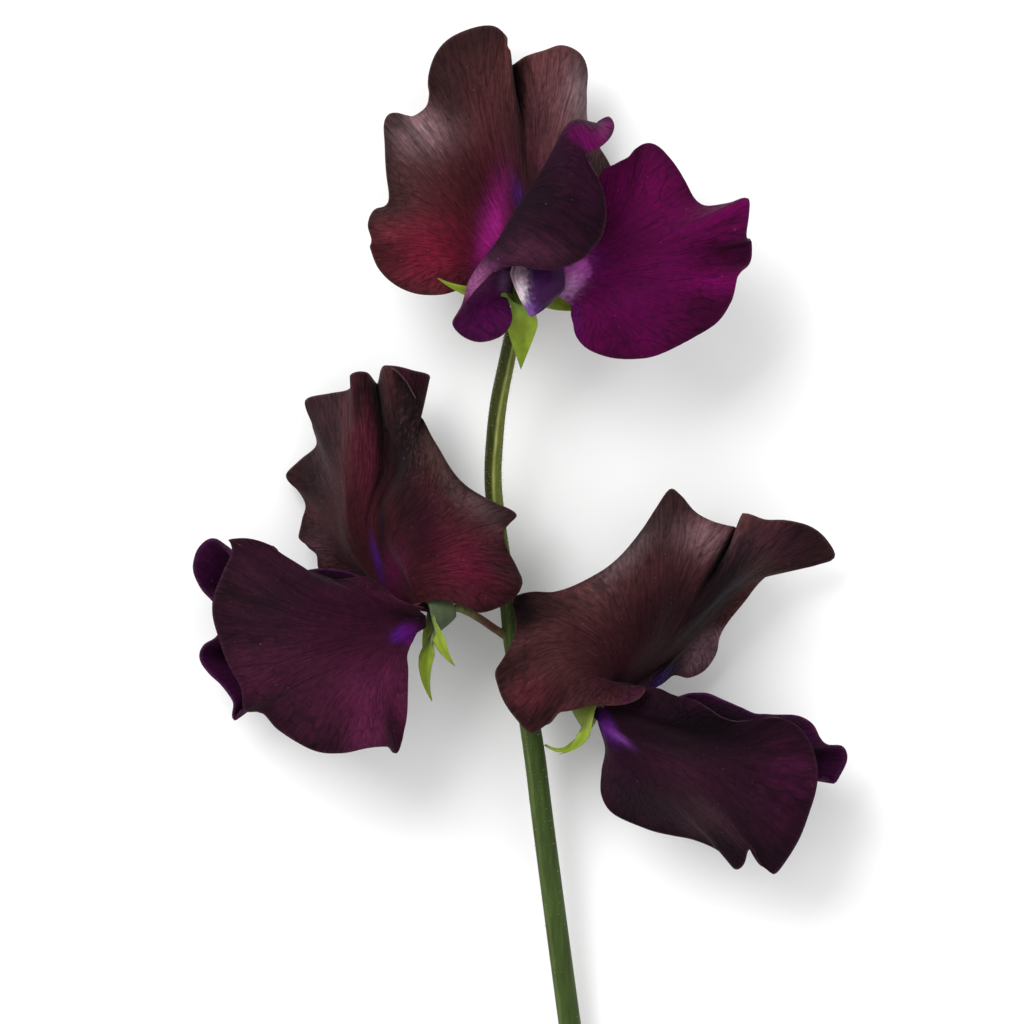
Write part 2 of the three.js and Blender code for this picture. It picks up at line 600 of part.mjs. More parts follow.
// A blade of even thickness about a middle surface. A closed one runs all the way round, as the
// side of a cup does, and is filled at its first row.
function bladeGeometry(rows, thickness, closed) {
  const rowCount = rows.length;
  const columnCount = rows[0].length;
  const points = [];
  for (const side of [1, -1]) {
    rows.forEach((cells, row) => cells.forEach((cell, column) => {
      const facing = facingAt(rows, row, column, closed);
      const point = cell.clone().addScaledVector(facing, side * thickness / 2);
      point.z = Math.max(point.z, restHeight);
      points.push(point);
    }));
  }
  const back = rowCount * columnCount;
  const triangles = [];
  const index = (row, column) => row * columnCount + (column % columnCount);
  const cellColumns = closed ? columnCount : columnCount - 1;
  for (let row = 0; row < rowCount - 1; row += 1) {
    for (let column = 0; column < cellColumns; column += 1) {
      const a = index(row, column);
      const b = index(row, column + 1);
      const c = index(row + 1, column + 1);
      const d = index(row + 1, column);
      triangles.push([a, b, c], [a, c, d]);
      triangles.push([back + a, back + c, back + b], [back + a, back + d, back + c]);
    }
  }
  const closeEdge = (a, b) => triangles.push([b, a, back + a], [b, back + a, back + b]);
  for (let column = 0; column < cellColumns; column += 1) {
    closeEdge(index(rowCount - 1, column + 1), index(rowCount - 1, column));
  }
  if (closed) {
    for (const offset of [0, back]) {
      const middle = new THREE.Vector3();
      for (let column = 0; column < columnCount; column += 1) {
        middle.addScaledVector(points[offset + column], 1 / columnCount);
      }
      points.push(middle);
      const centre = points.length - 1;
      for (let column = 0; column < columnCount; column += 1) {
        const a = offset + index(0, column);
        const b = offset + index(0, column + 1);
        triangles.push(offset === 0 ? [b, a, centre] : [a, b, centre]);
      }
    }
  } else {
    for (let column = 0; column < cellColumns; column += 1) {
      closeEdge(index(0, column), index(0, column + 1));
    }
    for (let row = 0; row < rowCount - 1; row += 1) {
      closeEdge(index(row + 1, 0), index(row, 0));
      closeEdge(index(row, columnCount - 1), index(row + 1, columnCount - 1));
    }
  }
  return closedGeometry(points, triangles);
}

// A solid of oval sections along a smooth line. sectionAt gives the half sizes of the section at a
// place along the line, and side is the way of its width.
function loftGeometry(linePoints, sectionAt, side, sides, steps) {
  const line = smoothLine(linePoints);
  const points = [];
  const triangles = [];
  for (let step = 0; step <= steps; step += 1) {
    const place = step / steps;
    const centre = line.getPoint(place);
    const tangent = line.getTangent(place);
    const across = side.clone().addScaledVector(tangent, -side.dot(tangent)).normalize();
    const over = tangent.clone().cross(across);
    for (let corner = 0; corner < sides; corner += 1) {
      const angle = 2 * Math.PI * corner / sides;
      const section = sectionAt(place, corner);
      points.push(centre.clone()
        .addScaledVector(across, section.wide * Math.cos(angle))
        .addScaledVector(over, section.deep * Math.sin(angle)));
    }
  }
  for (let step = 0; step < steps; step += 1) {
    for (let corner = 0; corner < sides; corner += 1) {
      const next = (corner + 1) % sides;
      const a = step * sides + corner;
      const b = step * sides + next;
      triangles.push([a, b, b + sides], [a, b + sides, a + sides]);
    }
  }
  for (const [first, turned] of [[0, false], [steps * sides, true]]) {
    const middle = new THREE.Vector3();
    for (let corner = 0; corner < sides; corner += 1) {
      middle.addScaledVector(points[first + corner], 1 / sides);
    }
    points.push(middle);
    const centre = points.length - 1;
    for (let corner = 0; corner < sides; corner += 1) {
      const a = first + corner;
      const b = first + (corner + 1) % sides;
      triangles.push(turned ? [a, b, centre] : [b, a, centre]);
    }
  }
  return closedGeometry(points, triangles);
}

// A value between the entries of a list at a place from 0 to 1
function valueAlong(entries, place) {
  const scaled = place * (entries.length - 1);
  const index = Math.min(Math.floor(scaled), entries.length - 2);
  return THREE.MathUtils.lerp(entries[index], entries[index + 1], scaled - index);
}

// How far an oval keeps its width at an angle, where its lower half is drawn to an edge
function edgeShare(angle, lowerEdge) {
  if (Math.sin(angle) >= 0) return 1;
  return (Math.abs(Math.cos(angle)) / (1 + Math.abs(Math.sin(angle)))) ** lowerEdge;
}

function keelGeometry(keel) {
  const sectionAt = (place, corner) => ({
    wide: valueAlong(keel.line.map((entry) => entry.wide), place)
      * edgeShare(2 * Math.PI * corner / keelSides, keel.lowerEdge),
    deep: valueAlong(keel.line.map((entry) => entry.deep), place),
  });
  const line = keel.line.map((entry) => entry.at);
  return loftGeometry(line, sectionAt, vectorOf(keel.side), keelSides, keelSteps);
}

// The middle surface of a calyx: a bell from its floor to its mouth, then its five pointed sepals
function calyxRows(calyx) {
  const floor = vectorOf(calyx.floor);
  const facing = vectorOf(calyx.facing).normalize();
  const given = vectorOf(calyx.upper);
  const upper = given.clone().addScaledVector(facing, -given.dot(facing)).normalize();
  const across = upper.clone().cross(facing);
  const columnCount = sepalCount * columnsPerSepal;
  const ringPoint = (radius, depth, angle) => floor.clone()
    .addScaledVector(facing, depth)
    .addScaledVector(upper, -radius * Math.cos(angle))
    .addScaledVector(across, radius * Math.sin(angle));
  const angleOf = (column) => 2 * Math.PI * (column / columnsPerSepal) / sepalCount;
  const rows = [];
  for (let row = 0; row <= cupRows; row += 1) {
    const part = row / cupRows;
    const radius = THREE.MathUtils.lerp(calyxFloorRadius, calyxMouthRadius, part ** cupFullness);
    const cells = [];
    for (let column = 0; column < columnCount; column += 1) {
      cells.push(ringPoint(radius, part * calyxDepth, angleOf(column)));
    }
    rows.push(cells);
  }
  for (let row = 1; row <= sepalRows; row += 1) {
    const cells = [];
    for (let column = 0; column < columnCount; column += 1) {
      const sepalIndex = Math.round(column / columnsPerSepal) % sepalCount;
      const offset = column / columnsPerSepal - Math.round(column / columnsPerSepal);
      const sepal = calyx.sepals[sepalIndex];
      const middleAngle = 2 * Math.PI * sepalIndex / sepalCount;
      const base = ringPoint(calyxMouthRadius, calyxDepth, middleAngle);
      const curve = new THREE.QuadraticBezierCurve3(base, vectorOf(sepal.bend), vectorOf(sepal.tip));
      const taper = 1 - (2 * Math.abs(offset)) ** sepalFullness;
      const part = (sepalNotch + (1 - sepalNotch) * taper) * row / sepalRows;
      const turned = THREE.MathUtils.smoothstep(part, sepalNotch, sepalTurnEnd);
      const mouth = ringPoint(calyxMouthRadius, calyxDepth, angleOf(column)).sub(base);
      const blade = vectorOf(sepal.blade).multiplyScalar(2 * offset);
      cells.push(mouth.lerp(blade, turned).add(curve.getPoint(part)));
    }
    rows.push(cells);
  }
  return rows;
}

const wasm = await Module();
wasm.setup();

// A solid for joining, from a closed mesh
function solidOf(geometry) {
  const bare = geometry.clone();
  bare.deleteAttribute('normal');
  const merged = mergeVertices(bare);
  const mesh = new wasm.Mesh({
    numProp: 3,
    vertProperties: new Float32Array(merged.attributes.position.array),
    triVerts: new Uint32Array(merged.index.array),
  });
  return new wasm.Manifold(mesh);
}

function geometryOf(solid) {
  const mesh = solid.getMesh();
  const geometry = new THREE.BufferGeometry();
  geometry.setAttribute('position', new THREE.BufferAttribute(mesh.vertProperties, mesh.numProp));
  geometry.setIndex(new THREE.BufferAttribute(mesh.triVerts, 1));
  geometry.computeVertexNormals();
  return geometry;
}

// The stalk with its two lengthwise ridges, and the two side pedicels joined on it
function stemGeometry() {
  const radii = stemLine.map((entry) => entry.radius);
  const stalkSection = (place, corner) => {
    const ridged = corner % (stemSides / 2) === 0 ? 1 + stemRidge : 1;
    const radius = valueAlong(radii, place) * ridged;
    return { wide: radius, deep: radius };
  };
  const stalk = loftGeometry(
    stemLine.map((entry) => entry.at),
    stalkSection,
    new THREE.Vector3(1, 0, 0),
    stemSides,
    stemSteps,
  );
  const pedicelSection = () => ({ wide: pedicelRadius, deep: pedicelRadius });
  const pedicel = (line) => solidOf(loftGeometry(
    line,
    pedicelSection,
    new THREE.Vector3(0, 0, 1),
    pedicelSides,
    pedicelSteps,
  ));
  return geometryOf(solidOf(stalk).add(pedicel(leftPedicelLine)).add(pedicel(rightPedicelLine)));
}

const leafGreen = new THREE.Color(0.24, 0.33, 0.12);
const sepalGreen = new THREE.Color(0.42, 0.55, 0.18);
const maroon = new THREE.Color(0.13, 0.03, 0.05);
const plum = new THREE.Color(0.1, 0.015, 0.06);
const magenta = new THREE.Color(0.22, 0.0, 0.13);
const violet = new THREE.Color(0.3, 0.18, 0.42);

function addPiece(group, name, geometry, color, roughness) {
  const material = new THREE.MeshStandardMaterial({ color, roughness, metalness: 0 });
  const mesh = new THREE.Mesh(geometry, material);
  mesh.name = name;
  group.add(mesh);
}

const petalRoughness = 0.7;
const stemRoughness = 0.55;
const spray = new THREE.Group();

addPiece(spray, 'stem', stemGeometry(), leafGreen, stemRoughness);

const calyces = { calyx_top: topCalyx, calyx_left: leftCalyx, calyx_right: rightCalyx };
for (const [name, calyx] of Object.entries(calyces)) {
  const geometry = bladeGeometry(calyxRows(calyx), sepalThickness, true);
  addPiece(spray, name, geometry, sepalGreen, stemRoughness);
}

const keels = { keel_top: topKeel, keel_left: leftKeel, keel_right: rightKeel };
for (const [name, keel] of Object.entries(keels)) {
  addPiece(spray, name, keelGeometry(keel), violet, petalRoughness);
}

const banners = {
  banner_top: bannerTopNet,
  banner_left: bannerLeftNet,
  banner_right: bannerRightNet,
};
for (const [name, net] of Object.entries(banners)) {
  const geometry = bladeGeometry(petalRows(net, bannerRows), petalThickness, false);
  addPiece(spray, name, geometry, maroon, petalRoughness);
}

const wings = {
  left_wing_top: { net: leftWingTopNet, color: plum },
  right_wing_top: { net: rightWingTopNet, color: magenta },
  near_wing_left: { net: nearWingLeftNet, color: plum },
  far_wing_left: { net: farWingLeftNet, color: magenta },
  near_wing_right: { net: nearWingRightNet, color: plum },
  far_wing_right: { net: farWingRightNet, color: magenta },
};
for (const [name, { net, color }] of Object.entries(wings)) {
  const geometry = bladeGeometry(petalRows(net, wingRows), petalThickness, false);
  addPiece(spray, name, geometry, color, petalRoughness);
}

// The origin lies on the surface, under the middle of the spray
const box = new THREE.Box3().setFromObject(spray);
const middle = box.getCenter(new THREE.Vector3());
for (const mesh of spray.children) {
  mesh.geometry.translate(-middle.x, -middle.y, -box.min.z);
}

export default spray;
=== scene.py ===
import math
import bpy
import bmesh
import numpy as np
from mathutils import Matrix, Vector, noise


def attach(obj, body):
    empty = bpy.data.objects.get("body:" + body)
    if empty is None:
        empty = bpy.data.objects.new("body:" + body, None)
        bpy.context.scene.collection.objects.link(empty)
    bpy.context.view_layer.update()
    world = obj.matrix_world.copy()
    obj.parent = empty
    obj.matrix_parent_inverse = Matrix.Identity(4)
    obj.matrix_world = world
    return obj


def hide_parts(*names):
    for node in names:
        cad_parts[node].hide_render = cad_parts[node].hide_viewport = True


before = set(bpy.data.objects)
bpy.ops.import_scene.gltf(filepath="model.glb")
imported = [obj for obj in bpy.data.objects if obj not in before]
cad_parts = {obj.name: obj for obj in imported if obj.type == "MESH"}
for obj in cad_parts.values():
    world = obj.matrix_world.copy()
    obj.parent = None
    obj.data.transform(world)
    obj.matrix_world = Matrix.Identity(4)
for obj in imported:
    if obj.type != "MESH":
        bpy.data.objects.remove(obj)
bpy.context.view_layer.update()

# Points are in millimetres on the spray as it lies, y up the stem and z up from the table,
# and sprayMiddle moves them to the origin under the middle of the spray
sprayMiddle = np.array([0.94, -14.636, 0.0])
millimetre = 0.001


def placed(point):
    return Vector((point - sprayMiddle) * millimetre)


def unit(vector):
    return vector / np.linalg.norm(vector, axis=-1, keepdims=True)


# A screen colour, 0 to 255, as the linear light that a shader takes
def linearColour(red, green, blue):
    channels = []
    for value in (red, green, blue):
        share = value / 255
        channels.append(share / 12.92 if share <= 0.04045 else ((share + 0.055) / 1.055) ** 2.4)
    return np.array(channels)


def plainTint(surface, colour):
    return np.zeros(surface.shape) + linearColour(*colour)


def mixed(tint, colour, share):
    return tint + (linearColour(*colour) - tint) * share


def smoothStep(low, high, value):
    share = np.clip((value - low) / (high - low), 0, 1)
    return share * share * (3 - 2 * share)


def bellCurve(offset, width):
    return np.exp(-(offset / width) ** 2)


def smoothLine(points, place):
    points = np.array(points, float)
    points = np.vstack([2 * points[0] - points[1], points, 2 * points[-1] - points[-2]])
    count = len(points) - 3
    scaled = np.clip(np.asarray(place, float), 0, 1) * count
    index = np.clip(np.floor(scaled).astype(int), 0, count - 1)
    part = (scaled - index)[..., None]
    before, start, end, after = (points[index + step] for step in range(4))
    return 0.5 * (2 * start + (end - before) * part
                  + (2 * before - 5 * start + 4 * end - after) * part ** 2
                  + (3 * start - before - 3 * end + after) * part ** 3)


# Each row runs across the petal, and the rows step smoothly from the claw to the rim
def petalSurface(net, across, outward):
    shares = [share for share, points in net]
    rings = [smoothLine(points, across) for share, points in net]
    last = len(rings) - 1
    slopes = []
    for ring in range(last + 1):
        before = max(ring - 1, 0)
        after = min(ring + 1, last)
        rise = (rings[after] - rings[before]) / (shares[after] - shares[before])
        if 0 < ring < last:
            lowSpan = shares[ring] - shares[before]
            highSpan = shares[after] - shares[ring]
            low = (rings[ring] - rings[before]) / lowSpan
            high = (rings[after] - rings[ring]) / highSpan
            rise = (low * highSpan + high * lowSpan) / (lowSpan + highSpan)
        slopes.append(rise)
    rows = []
    for share in outward:
        ring = min(max(int(np.searchsorted(shares, share, side="right")) - 1, 0), last - 1)
        span = shares[ring + 1] - shares[ring]
        part = (share - shares[ring]) / span
        rows.append((2 * part ** 3 - 3 * part ** 2 + 1) * rings[ring]
                    + (part ** 3 - 2 * part ** 2 + part) * span * slopes[ring]
                    + (3 * part ** 2 - 2 * part ** 3) * rings[ring + 1]
                    + (part ** 3 - part ** 2) * span * slopes[ring + 1])
    return np.array(rows)


def surfaceFacing(surface):
    facing = np.cross(np.gradient(surface, axis=1), np.gradient(surface, axis=0))
    return facing / np.maximum(np.linalg.norm(facing, axis=2, keepdims=True), 1e-9)


def newObject(name, mesh, nodes, materials):
    piece = bpy.data.objects.new(name, mesh)
    bpy.context.scene.collection.objects.link(piece)
    for material in materials:
        mesh.materials.append(material)
    for polygon in mesh.polygons:
        polygon.use_smooth = True
    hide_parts(*nodes)
    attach(piece, "root")
    return piece


# Gives a piece its thickness, half of it to each side
def addWall(piece, thickness):
    wall = piece.modifiers.new("wall", "SOLIDIFY")
    wall.thickness = thickness * millimetre
    wall.offset = 0
    return wall


def meshFrom(name, shell):
    mesh = bpy.data.meshes.new(name)
    shell.to_mesh(mesh)
    shell.free()
    return mesh


# A sheet of surface points as a mesh, with its place on the sheet in a UV map and its tint
def sheetMesh(name, surface, tint, closed=False):
    rows, columns = surface.shape[:2]
    sheet = bmesh.new()
    bmesh.ops.create_grid(sheet, x_segments=columns - 1, y_segments=rows - 1, size=1)
    uvLayer = sheet.loops.layers.uv.new("petalMap")
    tintLayer = sheet.verts.layers.float_color.new("tint")
    for vert in sheet.verts:
        across = (vert.co.x + 1) / 2
        outward = (vert.co.y + 1) / 2
        column = round(across * (columns - 1))
        row = round(outward * (rows - 1))
        for loop in vert.link_loops:
            loop[uvLayer].uv = (across, outward)
        vert[tintLayer] = (*tint[row, column], 1)
        vert.co = placed(surface[row, column])
    if closed:
        bmesh.ops.remove_doubles(sheet, verts=sheet.verts, dist=1e-6)
    return meshFrom(name, sheet)


# Closes the open ends of a mesh, or only the one within reach of a middle
def closeEnds(mesh, middle=None, reach=0):
    shell = bmesh.new()
    shell.from_mesh(mesh)
    edges = [edge for edge in shell.edges if edge.is_boundary
             and (middle is None or (edge.verts[0].co - middle).length < reach)]
    bmesh.ops.holes_fill(shell, edges=edges, sides=0)
    bmesh.ops.recalc_face_normals(shell, faces=shell.faces)
    shell.to_mesh(mesh)
    shell.free()


def joinMeshes(name, meshes):
    whole = bmesh.new()
    for mesh in meshes:
        whole.from_mesh(mesh)
        bpy.data.meshes.remove(mesh)
    return meshFrom(name, whole)


nodeStep = 200


# A shader node whose inputs are each given a value or the output that feeds it. The nodes stand
# in a row below the skin, in the order in which they are made.
def addNode(tree, kind, inputs=None, operation=None):
    node = tree.nodes.new("ShaderNode" + kind)
    node.location = (nodeStep * len(tree.nodes), -2 * nodeStep)
    if operation:
        node.operation = operation
    for key, value in (inputs or {}).items():
        if isinstance(value, bpy.types.NodeSocket):
            tree.links.new(value, node.inputs[key])
        else:
            node.inputs[key].default_value = value
    return node


def addMath(tree, operation, first, second):
    return addNode(tree, "Math", {0: first, 1: second}, operation).outputs[0]


def addScale(tree, colour, amount):
    return addNode(tree, "VectorMath", {0: colour, "Scale": amount}, "SCALE").outputs[0]


# A value taken from one range to another
def addRange(tree, value, source, target):
    return addNode(tree, "MapRange", {
        "Value": value, "From Min": source[0], "From Max": source[1],
        "To Min": target[0], "To Max": target[1]}).outputs[0]


def addNoise(tree, vector, scale, detail, extras=None):
    return addNode(tree, "TexNoise", dict(
        extras or {}, Vector=vector, Scale=scale, Detail=detail)).outputs["Fac"]


# A new material with its node tree, and the outputs for the painted tint and for object places
def startMaterial(name):
    material = bpy.data.materials.new(name)
    material.use_nodes = True
    tree = material.node_tree
    tint = addNode(tree, "Attribute")
    tint.attribute_name = "tint"
    return material, tree, tint.outputs["Color"], addNode(tree, "TexCoord").outputs["Object"]


def finishSkin(tree, colour, height, bumpDistance, look):
    skin = tree.nodes["Principled BSDF"]
    bump = addNode(tree, "Bump", {
        "Strength": look["relief"], "Distance": bumpDistance, "Height": height})
    tree.links.new(colour, skin.inputs["Base Color"])
    tree.links.new(bump.outputs[0], skin.inputs["Normal"])
    skin.inputs["Roughness"].default_value = look["roughness"]
    skin.inputs["Specular IOR Level"].default_value = look["gloss"]
    skin.inputs["Sheen Weight"].default_value = look["nap"]
    return skin


# What the skins share: the noise's usual range, then the detail and shade of each pattern
noiseRange = (0.3, 0.7)
skinDetail = {
    "streakNoise": {"Roughness": 0.6, "Distortion": 0.35}, "fineLength": 9, "fineDetail": 3,
    "wideLength": 2.4, "wideDetail": 1, "mottleDetail": 4, "mottleShade": (0.82, 1.18),
    "dustDetail": 2, "dustRange": (0.73, 0.8), "petalBump": 0.0004, "plainDetail": 4,
    "plainBump": 0.0002,
}


# Petal skin: the painted tint, with fine streaks and branching veins that run out from the claw
def petalMaterial(name, look):
    material, tree, tint, fromObject = startMaterial(name)
    uvMap = addNode(tree, "UVMap")
    uvMap.uv_map = "petalMap"

    def streaks(across, out, detail):
        mapping = addNode(tree, "Mapping", {"Scale": (across, out, 1), "Vector": uvMap.outputs[0]})
        return addNoise(tree, mapping.outputs[0], 1, detail, skinDetail["streakNoise"])

    fine = streaks(look["fineVeins"], skinDetail["fineLength"], skinDetail["fineDetail"])
    wide = streaks(look["wideVeins"], skinDetail["wideLength"], skinDetail["wideDetail"])
    mottle = addNoise(tree, fromObject, look["mottle"], skinDetail["mottleDetail"])
    dust = addNoise(tree, fromObject, look["dust"], skinDetail["dustDetail"])
    # A vein runs where the wide noise crosses its middle value
    fromLine = addMath(tree, "ABSOLUTE", addMath(tree, "SUBTRACT", wide, 0.5), 0)
    veinShade = addRange(tree, fromLine, (0, look["veinWidth"]), (look["veinDark"], 1))
    fineShade = addRange(tree, fine, noiseRange, (1 - look["grain"], 1 + look["grain"]))
    mottleShade = addRange(tree, mottle, noiseRange, skinDetail["mottleShade"])
    dustAmount = addRange(tree, dust, skinDetail["dustRange"], (0, 1))
    streakShade = addMath(tree, "MULTIPLY", veinShade, fineShade)
    shaded = addScale(tree, tint, addMath(tree, "MULTIPLY", streakShade, mottleShade))
    graded = addNode(tree, "VectorMath", {0: shaded, 1: look["gain"]}, "MULTIPLY")
    specks = addScale(tree, look["dustColour"], dustAmount)
    dusted = addNode(tree, "VectorMath", {0: graded.outputs[0], 1: specks}, "ADD")
    skin = finishSkin(tree, dusted.outputs[0], streakShade, skinDetail["petalBump"], look)
    skin.inputs["Sheen Roughness"].default_value = look["napWidth"]
    skin.inputs["Sheen Tint"].default_value = (*look["napTint"], 1)
    return material


# Skin of the green pieces and the keels: the painted tint with a grain
def plainMaterial(name, look):
    material, tree, tint, fromObject = startMaterial(name)
    mapping = addNode(tree, "Mapping", {"Scale": look["grain"], "Vector": fromObject})
    grain = addNoise(tree, mapping.outputs[0], 1, skinDetail["plainDetail"])
    shaded = addScale(tree, tint, addRange(tree, grain, noiseRange, look["shade"]))
    finishSkin(tree, shaded, grain, skinDetail["plainBump"], look)
    return material


# A patch of colour: its middle on the piece, its two radii seen from above, a strength and a
# colour, and deep is its radius up and down. It may be turned about the upright axis, in degrees,
# a firm one has a crisper border, and a ragged one has a border torn by noise of this size and
# depth.
def patch(at, spread, strength, colour, deep=12, turn=0, firm=1, ragged=None):
    return {"at": np.array(at), "spread": np.array((*spread, deep)), "strength": strength,
            "colour": colour, "turn": math.radians(turn), "firm": firm, "ragged": ragged}


def paintPatches(tint, surface, patches):
    for spot in patches:
        away = surface - spot["at"]
        along = away[..., 0] * math.cos(spot["turn"]) + away[..., 1] * math.sin(spot["turn"])
        aside = away[..., 1] * math.cos(spot["turn"]) - away[..., 0] * math.sin(spot["turn"])
        away = np.stack([along, aside, away[..., 2]], axis=2) / spot["spread"]
        distance = np.sum(away ** 2, axis=2)
        if spot["ragged"]:
            size, depth = spot["ragged"]
            wobble = [noise.noise(Vector(point / size)) for point in surface.reshape(-1, 3)]
            distance = distance * np.exp(depth * np.array(wobble).reshape(distance.shape))
        strength = spot["strength"] * np.exp(-distance ** spot["firm"])[..., None]
        tint = mixed(tint, spot["colour"], strength)
    return tint


# How far each point stands above the surface round it, in millimetres
def ridgeHeight(surface, rounds):
    height = surface[..., 2]
    around = height
    for _ in range(rounds):
        for axis in (0, 1):
            pad = [(1, 1) if step == axis else (0, 0) for step in (0, 1)]
            wide = np.pad(around, pad, mode="edge")
            ahead = np.take(wide, range(2, wide.shape[axis]), axis=axis)
            behind = np.take(wide, range(0, wide.shape[axis] - 2), axis=axis)
            around = around / 2 + (ahead + behind) / 4
    return height - around


# A tube of sections along a line, with the place along it and the angle round it of its points
def tubeSurface(points, radiusAt, side, columns, rows):
    place = np.linspace(0, 1, rows + 1)
    centre = smoothLine(points, place)
    tangent = unit(np.gradient(centre, axis=0))
    side = np.array(side, float)
    across = unit(side - tangent * (tangent @ side)[:, None])
    over = np.cross(tangent, across)
    angle = np.linspace(0, 2 * math.pi, columns + 1)
    wide, deep = radiusAt(place[:, None], angle[None, :])
    surface = (centre[:, None, :]
               + across[:, None, :] * (wide * np.cos(angle))[..., None]
               + over[:, None, :] * (deep * np.sin(angle))[..., None])
    return surface, place, angle


# The petal's shape also sets how strong the painted shade in hollows and painted highlight on
# ridges are, and where the painted sheen along the rim begins
petalShape = {
    "columns": 200, "rows": 64, "thickness": 0.3, "lowest": 0.16, "waveEnds": 0.05,
    "ridge": 0.5, "ridgeShading": 0.5, "ridgeRounds": 60, "rimTintFrom": 0.25, "rimSheenFrom": 0.982,
}


# Tint of a petal: its ground colour, its patches (some of them painted shade, painted sheen and
# painted highlight), painted shade in its hollows and painted highlight on its ridges, and a
# painted sheen in the pale line of its rim
def petalTint(surface, outward, petal):
    rimward = smoothStep(petalShape["rimTintFrom"], 1, outward)[:, None, None]
    tint = mixed(plainTint(surface, petal["ground"]), petal["rimGround"], rimward)
    tint = paintPatches(tint, surface, petal["patches"])
    # Painted shade in the hollows and painted highlight on the ridges, from how far each point
    # stands above the surface round it
    relief = ridgeHeight(surface, petalShape["ridgeRounds"]) / petalShape["ridge"]
    tint = tint * (1 + petalShape["ridgeShading"] * np.clip(relief, -1, 1))[..., None]
    # Painted sheen: a pale line along the rim
    edge = petal["edge"] * smoothStep(petalShape["rimSheenFrom"], 1, outward)[:, None, None]
    return mixed(tint, petal["rimSheenColour"], edge)


# A thin pale tube along the edge of a fold, a painted highlight for its sheen, lying on the petal
# along a line seen from above
def foldSheenRim(surface, rim):
    points = np.array([(x, y, 0) for x, y in rim["line"]], float)
    for point in points:
        away = np.hypot(surface[..., 0] - point[0], surface[..., 1] - point[1])
        point[2] = surface[..., 2][away < rim["reach"]].max() + rim["lift"]

    def rimRadius(place, angle):
        radius = rim["radius"] * (1 - (2 * place - 1) ** 4) + rim["endRadius"] + 0 * angle
        return radius, radius

    edge, _, _ = tubeSurface(points, rimRadius, (0, 0, 1), rim["columns"], rim["rows"])
    return sheetMesh("foldSheenRim", edge, plainTint(edge, rim["colour"]), closed=True)


def makePetal(name, petal, materials):
    across = np.linspace(0, 1, petalShape["columns"] + 1)
    outward = np.linspace(0, 1, petalShape["rows"] + 1)
    surface = petalSurface(petal["net"], across, outward)
    facing = surfaceFacing(surface)
    if facing[..., 2].mean() < 0:
        facing = -facing
    acrossGrid = across[None, :]
    outGrid = outward[:, None]
    lift = np.zeros(surface.shape[:2])
    for wave in petal["waves"]:
        swing = np.sin(2 * math.pi * (wave["count"] * acrossGrid + wave["turn"])
                       + wave["bend"] * outGrid)
        lift = lift + wave["height"] * swing * smoothStep(wave["from"], 1, outGrid)
    ends = (smoothStep(0, petalShape["waveEnds"], acrossGrid)
            * smoothStep(0, petalShape["waveEnds"], 1 - acrossGrid))
    surface = surface + facing * (lift * ends)[..., None]
    for fold in petal.get("folds", []):
        dip = bellCurve(acrossGrid - fold["at"], fold["width"])
        surface[..., 2] -= fold["depth"] * dip * smoothStep(fold["from"], 1, outGrid)
    surface[..., 2] = np.maximum(surface[..., 2], petalShape["lowest"])
    mesh = sheetMesh(name, surface, petalTint(surface, outward, petal))
    if sum(polygon.normal.z * polygon.area for polygon in mesh.polygons) < 0:
        mesh.flip_normals()
    if "sheenRims" in petal:
        mesh = joinMeshes(name, [mesh] + [foldSheenRim(surface, rim) for rim in petal["sheenRims"]])
    piece = newObject(name, mesh, [petal["node"]], materials)
    wall = addWall(piece, petalShape["thickness"])
    wall.material_offset = 1
    wall.use_even_offset = False
    print("petal", name, "made")


velvet = {"fineVeins": 230, "wideVeins": 40, "veinWidth": 0.03, "veinDark": 0.6, "grain": 0.45,
          "mottle": 1500, "dust": 2400, "dustColour": (0.08, 0.06, 0.06),
          "relief": 0.5, "roughness": 0.6, "gloss": 0.05, "nap": 0.05, "napWidth": 0.35,
          "napTint": (0.8, 0.66, 0.68), "gain": (0.6, 0.56, 0.58)}
wingVeins = dict(velvet, fineVeins=200, wideVeins=30)
bannerFace = petalMaterial("bannerFace", velvet)
bannerBack = petalMaterial("bannerBack", dict(velvet, gain=(0.52, 0.54, 0.58), nap=0.06))
wingOuter = petalMaterial("wingOuter", dict(wingVeins, grain=0.36))
wingInner = petalMaterial("wingInner", dict(wingVeins, grain=0.3, gain=(0.64, 0.6, 0.66)))
bannerSkins = [bannerFace, bannerBack]
outerShown = [wingOuter, wingInner]
innerShown = [wingInner, wingOuter]
print("petal materials made")

black = (20, 6, 12)
darkViolet = (72, 24, 112)
calmWaves = [
    {"count": 9, "turn": 0.1, "bend": 1.5, "height": 0.22, "from": 0.55},
    {"count": 17, "turn": 0.4, "bend": -2, "height": 0.1, "from": 0.7},
]
# A petal's edge and its colour give the painted sheen along its rim
farWing = {"slot": "wing", "edge": 0.2, "rimSheenColour": (96, 50, 88),
           "waves": [{"count": 8, "turn": 0.2, "bend": 1, "height": 0.25, "from": 0.6}]}

